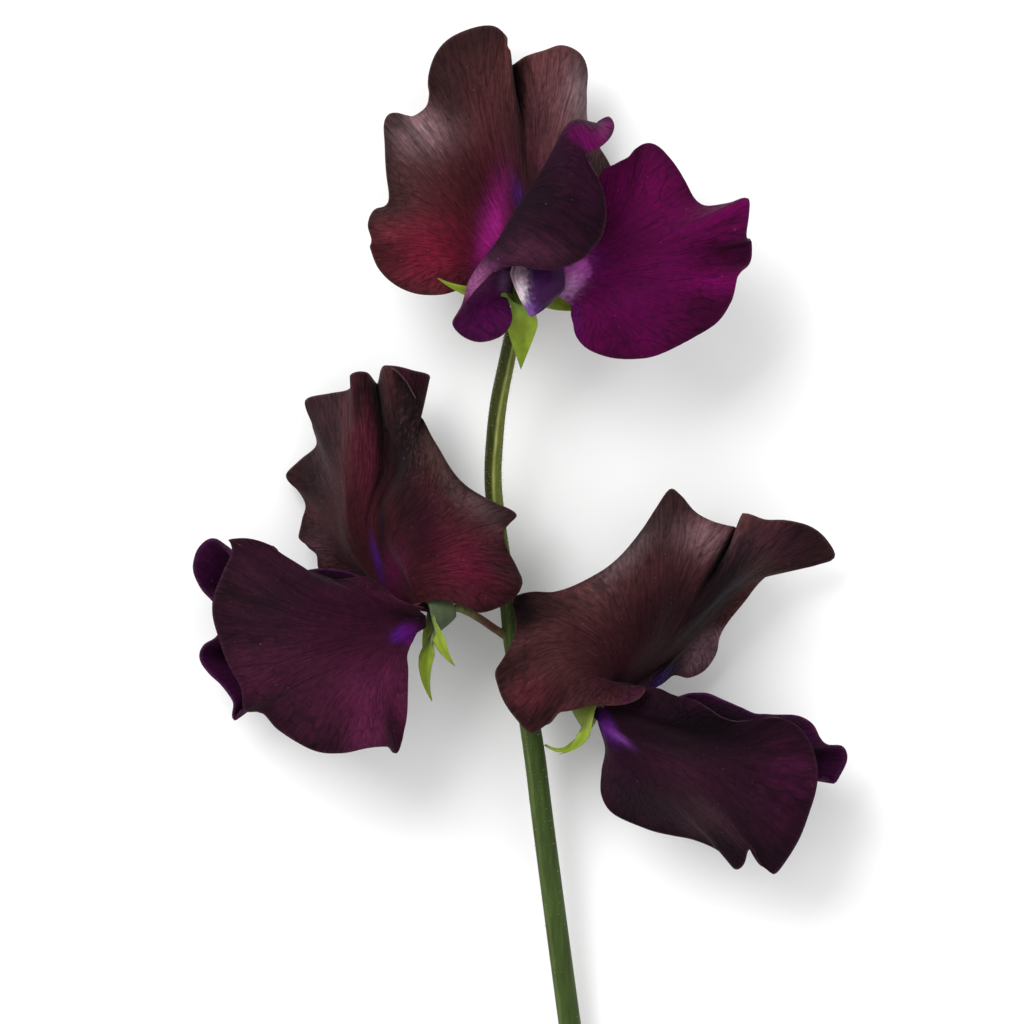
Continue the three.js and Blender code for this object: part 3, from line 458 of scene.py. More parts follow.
# A petal's net is a few rings of points, each with its share of the way from claw to rim
bannerTop = {
    "node": "banner_top", "slot": "banner", "ground": (68, 22, 30), "rimGround": (76, 42, 42),
    "edge": 0.3, "rimSheenColour": (112, 84, 80), "waves": calmWaves,
    "folds": [{"at": 0.672, "width": 0.009, "depth": 1.9, "from": 0.2}],
    "patches": [
        patch((-11, 32, 17), (6.5, 4.5), 0.85, (122, 20, 50)),
        patch((-2.3, 35.5, 17), (5.5, 1.5), 0.95, (200, 40, 160), turn=78),
        patch((0.8, 39.2, 14), (2.4, 0.8), 0.9, (86, 24, 124), turn=105, firm=1.5),
        # Painted sheen on the saddle of the left lobe
        patch((-11.5, 47.5, 15), (4.2, 3), 0.75, (150, 122, 126)),
        patch((-7, 52, 14), (3, 6), 0.5, black),
        # Painted shade along the crease
        patch((1.3, 46, 11), (0.45, 6), 0.6, black, turn=10),
        patch((3, 45.5, 11), (1.1, 4), 0.75, (146, 72, 98), turn=8),
        patch((4.8, 49.5, 11), (3.4, 8), 0.7, (122, 80, 84)),
        # Painted sheen where the right lobe rolls back at its rim
        patch((8.8, 52.3, 10), (2, 4), 0.72, (158, 134, 138)),
    ],
    "net": [
        (0, [(0.2, 29.5, 17), (2.6, 29.5, 17)]),
        (0.2, [(-0.6, 29.9, 17.2), (-3.8, 31.2, 17.8), (-3, 34.5, 17.6), (0.6, 36.5, 15.6),
         (3.8, 35, 13), (3.6, 30.2, 16.8)]),
        (0.55, [(-1.8, 29.6, 17.2), (-7.5, 30.5, 18.2), (-10, 34, 17.8), (-9.5, 38.5, 17.6),
         (-8, 42.5, 17.6), (-6, 46, 17.4), (-2, 48, 16.6), (2.6, 46.5, 10.8), (6.5, 45.5, 11.2),
         (9.3, 39.5, 7.5), (5, 30.6, 14.6)]),
        (1, [(-2.6, 28.9, 17), (-4.4, 28.2, 17), (-6.5, 27.7, 17), (-9, 27.1, 16.5),
         (-12, 27.3, 15.5), (-14.8, 28.6, 14.5), (-16.9, 30.6, 13.5), (-17.7, 33, 13),
         (-17.4, 34, 13.5), (-17.9, 35.8, 13), (-17.2, 37.7, 12), (-15.6, 38.8, 12),
         (-15.5, 42, 12), (-15.7, 45.5, 12), (-15.9, 48.5, 12.5), (-15.2, 49.8, 13),
         (-13.6, 49.5, 14.5), (-12, 49.4, 15.5), (-10.7, 50.6, 15), (-10.3, 52.4, 13.5),
         (-10.5, 54.5, 12), (-9.6, 57, 11), (-7.6, 59.2, 10.5), (-4.8, 60.6, 10.5),
         (-2.3, 60.8, 11), (-0.9, 59.6, 12), (-0.6, 57.6, 13), (-0.3, 55.9, 8.5), (1.6, 57, 10.5),
         (4.2, 57.8, 11.5), (6.4, 58.4, 11), (8.4, 57.3, 9.5), (9.5, 55, 8.5), (9.4, 52, 8),
         (9.4, 49, 7.5), (10.6, 46, 5), (12.3, 43, 2), (12.9, 39.5, 0.2), (11.5, 35.8, 1.5),
         (9, 32.9, 5.5), (6, 31, 12)]),
    ],
}
makePetal("bannerTop", bannerTop, bannerSkins)

leftWingTop = {
    "node": "left_wing_top", "slot": "wing", "ground": (36, 6, 30), "rimGround": (48, 12, 38),
    "edge": 0.3, "rimSheenColour": (112, 66, 92),
    "waves": [{"count": 7, "turn": 0.3, "bend": 1, "height": 0.15, "from": 0.7}],
    "patches": [
        patch((-3.5, 24.5, 20.5), (4, 4), 0.85, (94, 8, 82), deep=4),
        patch((-4.5, 28.3, 23.5), (2.6, 2), 0.85, (170, 96, 150), deep=2.2, turn=38),
        patch((4, 32, 26), (5, 2), 0.5, (88, 48, 66), deep=3),
        patch((4.5, 38.4, 26.5), (4, 5.4), 0.75, black, deep=4),
        patch((9.4, 46.2, 23.5), (3.2, 1.7), 0.98, (98, 0, 76), deep=5, turn=-24, firm=4),
        patch((11.7, 47.6, 21.5), (1.8, 1), 0.9, (134, 40, 112), deep=4, turn=55, firm=2),
        patch((-0.9, 28.8, 19.5), (0.8, 1.3), 0.75, (150, 108, 160), deep=2),
    ],
    "net": [
        (0, [(0.1, 28.6, 17.5), (0, 27.2, 17.5)]),
        (0.22, [(-0.5, 29.2, 18.8), (0.9, 32.2, 19), (-0.7, 31.8, 20.8), (-2.2, 29.2, 20.6),
         (-1.2, 27.3, 19)]),
        (0.5, [(-0.6, 29.6, 19.4), (1.9, 36.2, 19.2), (5.2, 43.6, 20.5), (4.3, 43, 24.5),
         (1.5, 38.8, 24), (-1.2, 34.3, 23.4), (-4.8, 29.2, 21.8), (-4.6, 25.6, 20),
         (-1.4, 26.8, 19)]),
        (0.78, [(-0.3, 29.8, 19.7), (4.3, 39.3, 18.8), (9, 47.2, 21.3), (7.4, 47.7, 26),
         (7, 39, 27.2), (2.4, 32.6, 27), (-5, 28.1, 23), (-5.6, 23.6, 20.4), (-0.9, 26.7, 19)]),
        (1, [(0, 30, 20), (0.8, 31.7, 19.6), (2.3, 34.5, 18.9), (4.5, 38, 18.4), (7, 41.5, 18),
         (9, 44.6, 19), (10.2, 47.3, 20), (11, 48.6, 20.5), (12.1, 49.1, 21), (12.7, 47.9, 22),
         (12.1, 46.3, 23.5), (10.7, 45, 25.3), (9.2, 44.1, 26.5), (9.8, 42.6, 26.5), (10.8, 41, 26),
         (11.5, 38.6, 25.5), (11.6, 36, 25), (11, 33.8, 24.8), (9.6, 32.1, 25), (7.8, 30.9, 25.3),
         (5.4, 30.1, 25.8), (2.8, 30.1, 26), (0.4, 30.6, 25.6), (-1.8, 30.2, 24.8),
         (-3.7, 28.4, 23.6), (-5.4, 26.4, 22.6), (-6.8, 24.7, 21.8), (-7.4, 23.3, 21),
         (-6.1, 21.8, 20.3), (-3.9, 21.1, 19.8), (-1.3, 21.9, 19.4), (0, 23.9, 19.2),
         (-0.6, 26.6, 18.9)]),
    ],
}
makePetal("leftWingTop", leftWingTop, outerShown)

rightWingTop = {
    "node": "right_wing_top", "slot": "wing", "ground": (90, 0, 65), "rimGround": (90, 0, 64),
    "edge": 0.3, "rimSheenColour": (118, 40, 98),
    "waves": [{"count": 8, "turn": 0.2, "bend": 1, "height": 0.25, "from": 0.6},
              {"count": 15, "turn": 0.5, "bend": 2, "height": 0.1, "from": 0.7}],
    "patches": [
        patch((14, 26, 20), (5, 4.5), 0.5, (72, 0, 56), deep=8),
        patch((8.8, 31, 18.5), (2.6, 2.6), 0.6, (124, 24, 120), deep=6),
        patch((7.4, 29.2, 18.8), (3, 1.6), 0.98, (222, 100, 206), deep=5, turn=50, firm=2.5,
              ragged=(0.5, 0.7)),
        patch((6.9, 28, 18.8), (1.9, 1.1), 0.8, (255, 196, 255), deep=5, turn=50,
              ragged=(0.4, 0.8)),
        patch((8, 24, 20), (0.9, 3), 0.6, (66, 10, 76), deep=6),
        patch((28.6, 31, 18), (1.6, 8), 0.35, (70, 2, 52), deep=8),
        patch((18.5, 40, 16), (5, 4), 0.6, (118, 0, 82), deep=8),
    ],
    "net": [
        (0, [(2.9, 27.1, 17.2), (2.9, 28.6, 17.2)]),
        (0.2, [(4.6, 27.7, 18.2), (7.6, 27.6, 19.2), (9.2, 29.6, 19.2), (8, 30.9, 18.6),
         (4.8, 29.2, 18)]),
        (0.55, [(5, 27.4, 18.4), (8.8, 25.5, 20.6), (13.5, 25, 21), (18, 28.5, 20),
         (18.8, 32.2, 19.2), (16.8, 34.6, 18.4), (13.8, 36.8, 17.6), (10.4, 35, 17.4),
         (5.2, 29.8, 17.9)]),
        (1, [(5.2, 27.2, 18.6), (6.4, 27, 19), (7.2, 25.8, 19.8), (7.6, 23.8, 20.3),
         (8, 21.8, 20.3), (9.5, 20.2, 19.8), (12.6, 19.1, 19), (16, 19.2, 18.3), (19.3, 20.1, 18),
         (22.6, 21.7, 17.5), (25.7, 23.7, 17), (27.2, 26.2, 17.5), (27.9, 28.8, 18.8),
         (28.6, 30.2, 18), (29.8, 31.4, 16), (29.8, 33.8, 15.5), (29.1, 34.6, 17.5),
         (29.5, 36.8, 19.5), (29.3, 39, 20.5), (27, 38.3, 18.5), (24.6, 37.8, 17), (23, 38.9, 16),
         (21.6, 41.3, 15), (20, 43.7, 14.5), (18.1, 45.6, 14.3), (16.4, 45.9, 14.5),
         (14.8, 44.5, 15.5), (12.9, 43.3, 15.4), (11.4, 42.6, 15.4), (10.6, 40.2, 15.8),
         (10, 36.8, 16.4), (8.4, 33.2, 17), (5.6, 30.2, 17.8)]),
    ],
}
makePetal("rightWingTop", rightWingTop, innerShown)

bannerLeft = {
    "node": "banner_left", "slot": "banner", "ground": (64, 24, 30), "rimGround": (72, 36, 38),
    "edge": 0.3, "rimSheenColour": (112, 82, 80), "waves": calmWaves,
    "folds": [{"at": 0.475, "width": 0.011, "depth": 2.2, "from": 0.15}],
    # Painted highlight: a pale line along the edge where the tip folds over
    "sheenRims": [{"line": [(-16.2, 18), (-14.9, 17.9), (-14, 17.2), (-13.1, 16), (-12.1, 14.2)],
              "radius": 0.01, "lift": 0.01, "colour": (112, 78, 88), "reach": 0.35,
              "endRadius": 0.01, "columns": 6, "rows": 80}],
    "patches": [
        patch((-23.8, 6, 6), (3.2, 7), 0.85, (50, 35, 41)),
        patch((-23, 13.5, 6), (2.6, 3), 0.5, (96, 60, 72)),
        patch((-18, 7, 12), (1.9, 7), 0.8, (74, 22, 38), firm=2),
        patch((-18.6, 15.5, 12), (2.2, 4), 0.85, (30, 8, 18)),
        # Painted shade beside the crease and down along it
        patch((-13.2, 9, 13), (11, 2.9), 0.95, (14, 9, 15), turn=92, firm=1.5),
        patch((-16.2, -1.5, 12.5), (0.5, 5.5), 0.8, (10, 2, 16)),
        patch((-9, 6.4, 13), (2, 5), 0.5, (104, 74, 66), turn=30, ragged=(0.22, 2.6)),
        patch((-10.6, -2, 17), (3, 6), 0.8, (40, 4, 22)),
        patch((-4.6, -7, 17), (4.5, 4.5), 0.7, (104, 18, 52)),
        # Painted highlight on the shoulder
        patch((-3.6, 0.6, 14), (4, 1.6), 0.6, (112, 88, 92), turn=-40),
        patch((-14.6, -7.4, 15), (1.5, 3.4), 0.65, (104, 6, 72)),
        patch((-16.8, -6, 12), (0.4, 2.6), 0.85, (80, 20, 130), turn=15),
        patch((-21, -6, 9), (2.4, 3), 0.4, (42, 20, 28)),
        patch((-24.4, -4.2, 7), (2.4, 2.6), 0.6, (88, 66, 74)),
        # Painted shade where the tip folds over: the layer beyond the fold darkened, and a dark
        # line along the fold
        patch((-12.1, 16.9, 9), (2.8, 1.5), 0.97, (66, 6, 34), turn=-38, firm=4),
        patch((-13.4, 16, 10), (3.2, 0.5), 0.95, (4, 2, 6), turn=-54, firm=2),
    ],
    "net": [
        (0, [(-10.2, -12.5, 13.5), (-10.2, -12.5, 15.3)]),
        (0.2, [(-12.6, -12.2, 13.4), (-17.8, -7.5, 12.5), (-18, -5, 13), (-15.2, -4.5, 14.5),
         (-13, -8, 16.8), (-12, -11.8, 15.9)]),
        (0.55, [(-12.9, -12.1, 13.2), (-20.5, -6, 9.5), (-21.8, -2.5, 9.5), (-21.8, 2, 11),
         (-20.2, 5.5, 13.2), (-14.8, 6, 12.5), (-12.4, 5, 16), (-8.8, -0.5, 18), (-7, -4, 18.5),
         (-7.5, -8.2, 18.5), (-12.2, -11.7, 16.2)]),
        (1, [(-13.2, -12, 13), (-17, -10.5, 10), (-20.8, -9, 8), (-23.9, -7.6, 7),
         (-24.4, -5.3, 6.5), (-25.6, -4.2, 6), (-26.9, -3.2, 5), (-26.4, -1.2, 4.5),
         (-25.7, 0.8, 5), (-26.8, 2.9, 4), (-28.4, 4.6, 2.5), (-26.8, 6.6, 3), (-24.3, 8.5, 5.5),
         (-24.9, 11.2, 5), (-25.9, 14, 3), (-23, 14.9, 6), (-20.3, 15.5, 10), (-19.8, 17.3, 11.5),
         (-18.2, 17.4, 11), (-16.9, 16.1, 8.5), (-16.4, 18, 12), (-15.3, 18.3, 13),
         (-12.8, 17.7, 10), (-10.3, 16.9, 7.5), (-13.2, 14.2, 8.5), (-11.1, 11.6, 10),
         (-10.1, 8.9, 11), (-8.2, 6, 11.5), (-5.8, 3.4, 12), (-3.2, 1.7, 12), (-0.4, 0.3, 11),
         (0.3, -0.8, 11), (-0.9, -2.2, 13), (-0.6, -4.5, 12.5), (0.6, -7, 12), (1.1, -9, 12.5),
         (-0.5, -11.2, 13.5), (-3.8, -12.6, 15), (-6.3, -11.6, 16.2), (-9.2, -10.8, 17),
         (-12.3, -11.6, 16.4)]),
    ],
}
makePetal("bannerLeft", bannerLeft, bannerSkins)

nearWingLeft = {
    "node": "near_wing_left", "slot": "wing", "ground": (58, 16, 40), "rimGround": (66, 22, 46),
    "edge": 0.3, "rimSheenColour": (104, 60, 84), "waves": calmWaves,
    "patches": [
        patch((-16, -24, 18.5), (5, 6.5), 0.65, (104, 34, 74)),
        patch((-29, -11, 19), (8, 6.5), 0.75, (26, 8, 20)),
        # Painted shade in the slot between the wings
        patch((-22, -8.2, 19.5), (4, 1), 0.8, black),
        # Painted shadow of the banner's lower rim above the claw
        patch((-13.4, -12.8, 17), (2.6, 1), 0.8, black),
        patch((-13.7, -15.1, 17.4), (1.5, 0.9), 0.95, (98, 24, 150), deep=5, turn=28, firm=1.5),
        patch((-12.6, -15.2, 17), (1.2, 1.4), 0.9, (100, 16, 112), deep=5, firm=1.5),
    ],
    "net": [
        (0, [(-10.8, -14.4, 15.9), (-10.8, -12.9, 15.9)]),
        (0.2, [(-12, -14.8, 16.4), (-14.6, -16.6, 18.2), (-15.6, -14.6, 18.4), (-15, -12.6, 18),
         (-11.6, -12.3, 17.1)]),
        (0.55, [(-12.1, -15, 16.5), (-14.8, -20.5, 19.5), (-18.6, -22.5, 21), (-23.5, -20, 21.5),
         (-25.5, -15.8, 21.5), (-24.8, -11.5, 21), (-21.8, -10, 20.8), (-18.2, -10.2, 19.5),
         (-11.4, -12.1, 17.6)]),
        (1, [(-12, -15.3, 16.6), (-12.8, -16.9, 17), (-13, -19.5, 17.8), (-13.1, -23, 17.5),
         (-13.4, -26.8, 16.5), (-14.2, -30.1, 15), (-15.6, -29.2, 17), (-18, -29.3, 18.5),
         (-21, -30, 18), (-23.8, -30, 17), (-26.6, -28.6, 16.5), (-29.2, -27, 16),
         (-31, -25.2, 16.5), (-33.3, -24.7, 17), (-33.6, -22, 18), (-35.2, -19.2, 18),
         (-36.4, -16.3, 17), (-37.1, -13.4, 16), (-37.1, -10.4, 15.5), (-36, -7.4, 16),
         (-34.9, -4.8, 16), (-35.2, -3.6, 15), (-33, -3.3, 16), (-30.6, -3.9, 17),
         (-28.6, -5.4, 18), (-26.6, -7, 18.5), (-24.3, -7.5, 19), (-22.2, -8.4, 19.5),
         (-20, -8.2, 19.5), (-17.8, -8.2, 18.8), (-16, -9.2, 18.2), (-14.4, -10.9, 17.9),
         (-11, -11.9, 17.8)]),
    ],
}
makePetal("nearWingLeft", nearWingLeft, outerShown)

farWingLeft = {
    **farWing, "node": "far_wing_left", "ground": (58, 10, 50), "rimGround": (50, 12, 44),
    "patches": [
        patch((-13.5, -14.5, 11.5), (2, 1.6), 0.9, darkViolet, deep=5),
    ],
    "net": [
        (0, [(-10.8, -14.4, 12.9), (-10.8, -12.9, 12.9)]),
        (0.2, [(-12, -14.4, 12.7), (-15.5, -16.8, 10.5), (-16.2, -14.8, 10.5), (-15.2, -13.2, 11.3),
         (-12.6, -13.4, 12.5)]),
        (0.55, [(-12.2, -14.6, 12.6), (-17.5, -20.8, 6), (-25, -20.5, 2.5), (-27.5, -18, 0.6),
         (-28, -15, 0.9), (-27.5, -11.8, 3.5), (-24.8, -10.8, 5.5), (-19.5, -10.8, 9),
         (-12.8, -13.4, 12.4)]),
        (1, [(-11.8, -15, 12.6), (-13.5, -17.8, 11), (-15.2, -21.5, 9.5), (-18, -25, 8.5),
         (-21.5, -27.2, 7.5), (-25, -27.3, 7.5), (-28.4, -26.2, 8), (-31.5, -25.2, 9),
         (-33.6, -24.9, 9.5), (-34.8, -25.9, 9), (-34.7, -23.9, 9.5), (-36.2, -22, 9),
         (-38, -20.3, 8.5), (-39, -18.4, 8), (-38.5, -16.9, 8.5), (-37, -15.5, 9.5),
         (-36.2, -13, 10.5), (-37.4, -10.9, 10), (-38.9, -9.2, 9.5), (-40, -7.2, 9), (-39.6, -5, 9),
         (-38.3, -3.7, 9.5), (-36.8, -3.8, 10.5), (-35.3, -5, 11), (-32.5, -7.3, 12),
         (-29, -8.2, 12.5), (-26, -7.6, 13), (-23.6, -7, 13.2), (-21.2, -7.2, 13.2),
         (-19.2, -8.2, 13), (-17, -9.9, 12.8), (-14.8, -11.8, 12.6), (-12.6, -13, 12.4)]),
    ],
}
makePetal("farWingLeft", farWingLeft, innerShown)

bannerRight = {
    "node": "banner_right", "slot": "banner", "ground": (60, 28, 32), "rimGround": (74, 42, 42),
    "edge": 0.3, "rimSheenColour": (114, 86, 82), "waves": calmWaves,
    "folds": [{"at": 0.625, "width": 0.01, "depth": 2.2, "from": 0.15}],
    "patches": [
        patch((2.6, -23.4, 16), (3.5, 3), 0.6, (92, 28, 44)),
        # Painted sheen along the top
        patch((23.5, -3, 15), (5, 2.6), 0.7, (118, 92, 96), turn=-15),
        # Painted shade in the middle and along the crease under the folded arm
        patch((18, -13.5, 15), (8, 4.5), 0.85, (28, 2, 12), turn=60),
        patch((26.4, -8.5, 10), (8.5, 2.4), 0.93, (14, 8, 14), turn=56, firm=2),
        patch((35, -3.6, 9), (5.5, 3), 0.8, (62, 26, 44)),
        patch((23.6, -18.2, 5), (4.2, 2.4), 0.95, (160, 122, 134), deep=4, turn=48, firm=2),
        patch((23.2, -20.4, 4.6), (2.6, 0.6), 0.7, (150, 80, 84), deep=4, turn=20),
        patch((19.2, -20.2, 14), (3, 1.3), 0.97, (8, 0, 18), turn=45, firm=1.5),
        patch((18.8, -20.9, 14), (2.4, 0.8), 0.8, (44, 10, 92), turn=42, firm=1.5),
        patch((13, -21, 15), (4, 3), 0.85, (42, 4, 22), turn=30),
        patch((15, -22.8, 16.5), (2.2, 0.6), 0.75, (62, 14, 50), turn=40),
        patch((1.8, -12.6, 12), (1.8, 2.6), 0.9, black),
        # Painted highlight along the upper ridge
        patch((14.5, -5, 13), (5, 1.5), 0.55, (120, 104, 108), turn=48),
    ],
    "net": [
        (0, [(11.7, -23.9, 14), (11.7, -23.9, 12)]),
        (0.2, [(14.6, -21.9, 14.2), (12.2, -21.6, 16.2), (12.6, -19.2, 16.6), (16, -17.6, 15.8),
         (18.4, -17.8, 12.5), (18.4, -19.4, 10.5), (15.8, -22.3, 12.8)]),
        (0.55, [(14.9, -21.8, 14.6), (12.6, -21.5, 18), (8.5, -20.5, 18.5), (6.5, -17.8, 18.5),
         (7.5, -14.5, 18), (12, -12.5, 18), (17.5, -9, 17.5), (21.5, -8.8, 15.5),
         (26.2, -9.6, 13.5), (27.8, -9.5, 10), (25.5, -12.6, 8), (22.2, -17, 7.5),
         (16, -22.4, 12.8)]),
        (1, [(15.2, -22, 15), (16.6, -21.9, 16.8), (15.8, -23, 17.8), (14, -23.9, 18.2),
         (11.8, -24.1, 18), (9.6, -24.1, 17.2), (7.4, -24.7, 16.4), (5.4, -25.2, 15.5),
         (3.8, -26.8, 13.8), (2.4, -27.5, 12.8), (0.8, -26, 13.2), (-0.7, -24, 13.5),
         (-1.7, -21.8, 13), (-2.2, -19.9, 12.5), (-0.9, -18, 13), (0.3, -16.2, 13),
         (0.6, -13.8, 11.5), (0.2, -11, 10.2), (2.2, -10, 11.5), (5.2, -9.9, 13.5), (8.2, -9.2, 14),
         (11.2, -7.6, 13.8), (13.8, -5.3, 13), (16.2, -2.3, 11.8), (18, 0.6, 10.5),
         (19.8, 2.8, 9.5), (21.3, 1.8, 10.5), (22.9, 0, 12), (25.2, -1.2, 13.5), (27.9, -1.9, 13),
         (28.4, -2.3, 9.5), (29.1, -0.2, 14.5), (31.6, -0.9, 13), (34.6, -1.1, 11), (37.6, -1.9, 9),
         (39.6, -3.6, 7.5), (40.4, -5.7, 6), (37, -6.4, 6.5), (33.4, -7.1, 7), (31.2, -8.8, 7),
         (29.2, -11.2, 6.5), (27.2, -13.6, 6), (25.9, -15.6, 5), (25.4, -17.8, 4), (24.2, -20, 4),
         (22.2, -20.9, 5), (20.3, -20.4, 7), (18.6, -21.6, 10), (16.2, -22.6, 12.5)]),
    ],
}
makePetal("bannerRight", bannerRight, bannerSkins)

nearWingRight = {
    "node": "near_wing_right", "slot": "wing", "ground": (38, 12, 28), "rimGround": (46, 16, 34),
    "edge": 0.3, "rimSheenColour": (100, 56, 84), "waves": calmWaves,
    "patches": [
        # Painted shade in the hollow of the upper part
        patch((24, -26.5, 17), (9, 3.2), 0.97, (10, 0, 9), turn=-12),
        patch((14.2, -32.5, 17.5), (2, 4), 0.6, (36, 14, 32)),
        patch((20, -31.5, 19), (5, 1.6), 0.35, (60, 26, 40), turn=-20),
        # Below the ridge: the petal's own brown-grey, with painted sheen in the paler patch
        patch((18, -36.5, 18), (6, 2.2), 0.8, (34, 20, 28), turn=-18),
        patch((24, -38.2, 17), (4, 2), 0.6, (70, 44, 52), turn=-50),
        patch((35, -35, 15), (4, 7), 0.5, (80, 10, 60)),
        patch((11.9, -26.6, 16), (2.6, 0.9), 0.9, (104, 34, 140), deep=5, turn=-62, firm=1.5),
        patch((13.6, -28.2, 16.4), (1.8, 0.4), 0.75, (136, 70, 164), deep=5, turn=-38),
    ],
    "net": [
        (0, [(10.1, -25.4, 14), (10.7, -24.4, 14)]),
        (0.2, [(10.6, -25.6, 14.1), (12.4, -28, 16.5), (14.2, -28.2, 17.4), (15, -26.8, 16.8),
         (13.9, -25.2, 15.3), (11.3, -24.4, 14.1)]),
        (0.5, [(10.9, -25.6, 14.2), (12.8, -30.5, 18), (16, -33.2, 19), (18.8, -33.6, 19.8),
         (22, -32.6, 21), (24.8, -31.4, 20), (24.5, -29.3, 18.5), (22, -27.4, 17),
         (18.5, -25.8, 16.5), (14.6, -24.5, 15.4), (11.5, -24.3, 14.2)]),
        (1, [(10.6, -25.7, 14.1), (11.2, -27.7, 15.2), (11.5, -30, 16), (11.3, -32.6, 16.3),
         (11.2, -35, 16), (12.2, -37.1, 15.5), (14.2, -38.6, 15), (17, -39.6, 14.5),
         (20, -40.2, 14), (22.8, -40.8, 13.8), (25, -41.8, 13.3), (26.6, -43.3, 12.8),
         (28, -44.5, 12.3), (29.1, -43.6, 12.8), (29.5, -42.2, 14.5), (30.1, -42.1, 15),
         (31.2, -44, 13.8), (32.6, -45.1, 12.5), (34.2, -43.5, 13), (35.8, -40.9, 13.8),
         (37, -38, 14.3), (37.8, -35, 15), (38, -32, 15.3), (37.4, -29.2, 15.3), (36, -27, 15),
         (34, -25.8, 15), (32, -25.6, 15.5), (30.2, -25.9, 16), (28.2, -26.2, 16.5),
         (26.2, -25.6, 17), (24.4, -24.4, 17.3), (22.8, -23.4, 17.2), (21.2, -23.1, 16.8),
         (19.7, -22.6, 16.2), (18.4, -22, 15.7), (17, -22, 15.2), (15.6, -22.4, 15),
         (14.2, -22.9, 14.9), (13, -23.3, 14.7), (12, -23.8, 14.4), (11.2, -24.2, 14.2)]),
    ],
}
makePetal("nearWingRight", nearWingRight, outerShown)

farWingRight = {
    **farWing, "node": "far_wing_right", "ground": (54, 10, 46), "rimGround": (52, 14, 46),
    "patches": [
        patch((12.5, -26.5, 10.5), (2, 1.6), 0.9, darkViolet, deep=5),
    ],
    "net": [
        (0, [(10.7, -26, 11.6), (11.6, -24.8, 11.5)]),
        (0.2, [(11, -26.2, 11.2), (13.8, -28.4, 9.3), (15, -27.6, 8.8), (14.8, -26.2, 10),
         (12, -25.4, 11.2)]),
        (0.55, [(11.2, -26.2, 11), (16.8, -31.8, 5), (24.5, -32.8, 0.8), (28, -31.2, 0.5),
         (28, -28.8, 3), (24.8, -27.2, 6), (20.8, -25.8, 8.8), (16.4, -25.4, 10.5),
         (12, -25.3, 11.2)]),
        (1, [(10.8, -26, 11), (11.8, -29, 9.5), (13.6, -32.5, 8), (16.5, -35.5, 6.5),
         (20, -37.4, 5.5), (24, -38.4, 5), (28, -38.4, 5), (32, -37, 5.5), (35.4, -35, 6.5),
         (37.8, -33.9, 7.5), (39.2, -33.1, 8.5), (40.4, -34.1, 8), (41.4, -32.6, 8),
         (41.9, -30.9, 8.5), (41.3, -29.6, 9.3), (39.6, -29.1, 10), (38.6, -28.2, 10.5),
         (37.6, -26.8, 11), (35.9, -25.8, 11.5), (34, -25.3, 12), (32, -25.2, 12.2),
         (30.2, -25.4, 12.5), (28.4, -24.6, 13), (26.6, -23.5, 13.3), (24.6, -22.6, 13.5),
         (22.8, -22.8, 13.4), (21.2, -23.2, 13.2), (19.6, -23.4, 13), (18, -23.6, 12.7),
         (16.4, -23.9, 12.4), (14.8, -24.2, 12), (13.2, -24.6, 11.7), (11.8, -25, 11.3)]),
    ],
}
makePetal("farWingRight", farWingRight, innerShown)

# The stalk's pale band is a painted highlight, its darker sides are painted shade, and its pale
# edges are a painted sheen along the sides seen from above
stalk = {
    "line": [
        (10.85, -90, 1.32), (7.05, -63, 4), (4, -40, 6.2), (2.75, -30, 7.2),
        (1.4, -22, 8), (0.2, -17, 8.3), (-0.4, -12, 8.3), (-1.2, -6, 8.1),
        (-1.9, -1, 8), (-2.35, 4, 8.6), (-2.15, 9, 9.7), (-1.6, 14, 10.8),
        (-0.6, 19, 12), (0.1, 22.6, 12.4), (0.8, 25.7, 13), (1, 26.5, 13.9),
    ],
    "radii": [1.32, 1.26, 1.22, 1.2, 1.12, 1.05, 0.98, 0.98, 0.98, 0.98, 0.98, 0.96, 0.92,
              0.84, 0.8, 0.7],
    "columns": 48, "rows": 260, "lowest": 0.02, "ridge": 0.14, "ridgeSharpness": 6,
    "inset": 0.03, "flutes": 7, "fluteDepth": 0.025, "fluteDrift": 5,
    "groundLow": (62, 81, 34), "groundHigh": (96, 104, 38), "light": (172, 176, 108),
    "shadeColour": (42, 46, 8), "edge": (150, 156, 130), "sheenEdgeWidth": 0.3, "edgeShare": 0.3,
    "highlightAt": 0.49, "highlightDrift": 1.85, "highlightWidth": 0.16, "upperFrom": (0.42, 0.55),
    "highlightShare": (0.12, 0.62), "shadeShare": (0.15, 0.88), "shadeBelow": (-0.4, -0.1),
    "shadeAbove": (0.2, 0.7),
}
pedicels = {
    "left": [(-0.5, -15.6, 8.3), (-2.2, -14.6, 9.6), (-4.2, -13.2, 12.2), (-6.3, -12.1, 13.9),
             (-7.2, -12, 14.2)],
    "right": [(0.8, -19.6, 8.2), (2.8, -20.6, 9.2), (5.2, -21.8, 11), (7, -22.8, 12),
              (7.8, -23.3, 12.4)],
    "columns": 24, "rows": 50, "radius": 0.5, "flare": 0.35, "flareLength": 0.12,
    "green": (96, 104, 56), "brown": (84, 34, 36), "brownAt": 0.36, "brownWidth": 0.28,
    "brownShare": 0.9,
}
hairs = {"count": 900, "length": 0.4, "shortest": 0.5, "rooted": 0.4, "radius": 0.03,
         "sides": 3, "lean": 0.35, "clearance": 0.5, "bareRows": 2,
         "colour": (196, 198, 168), "seed": 11}


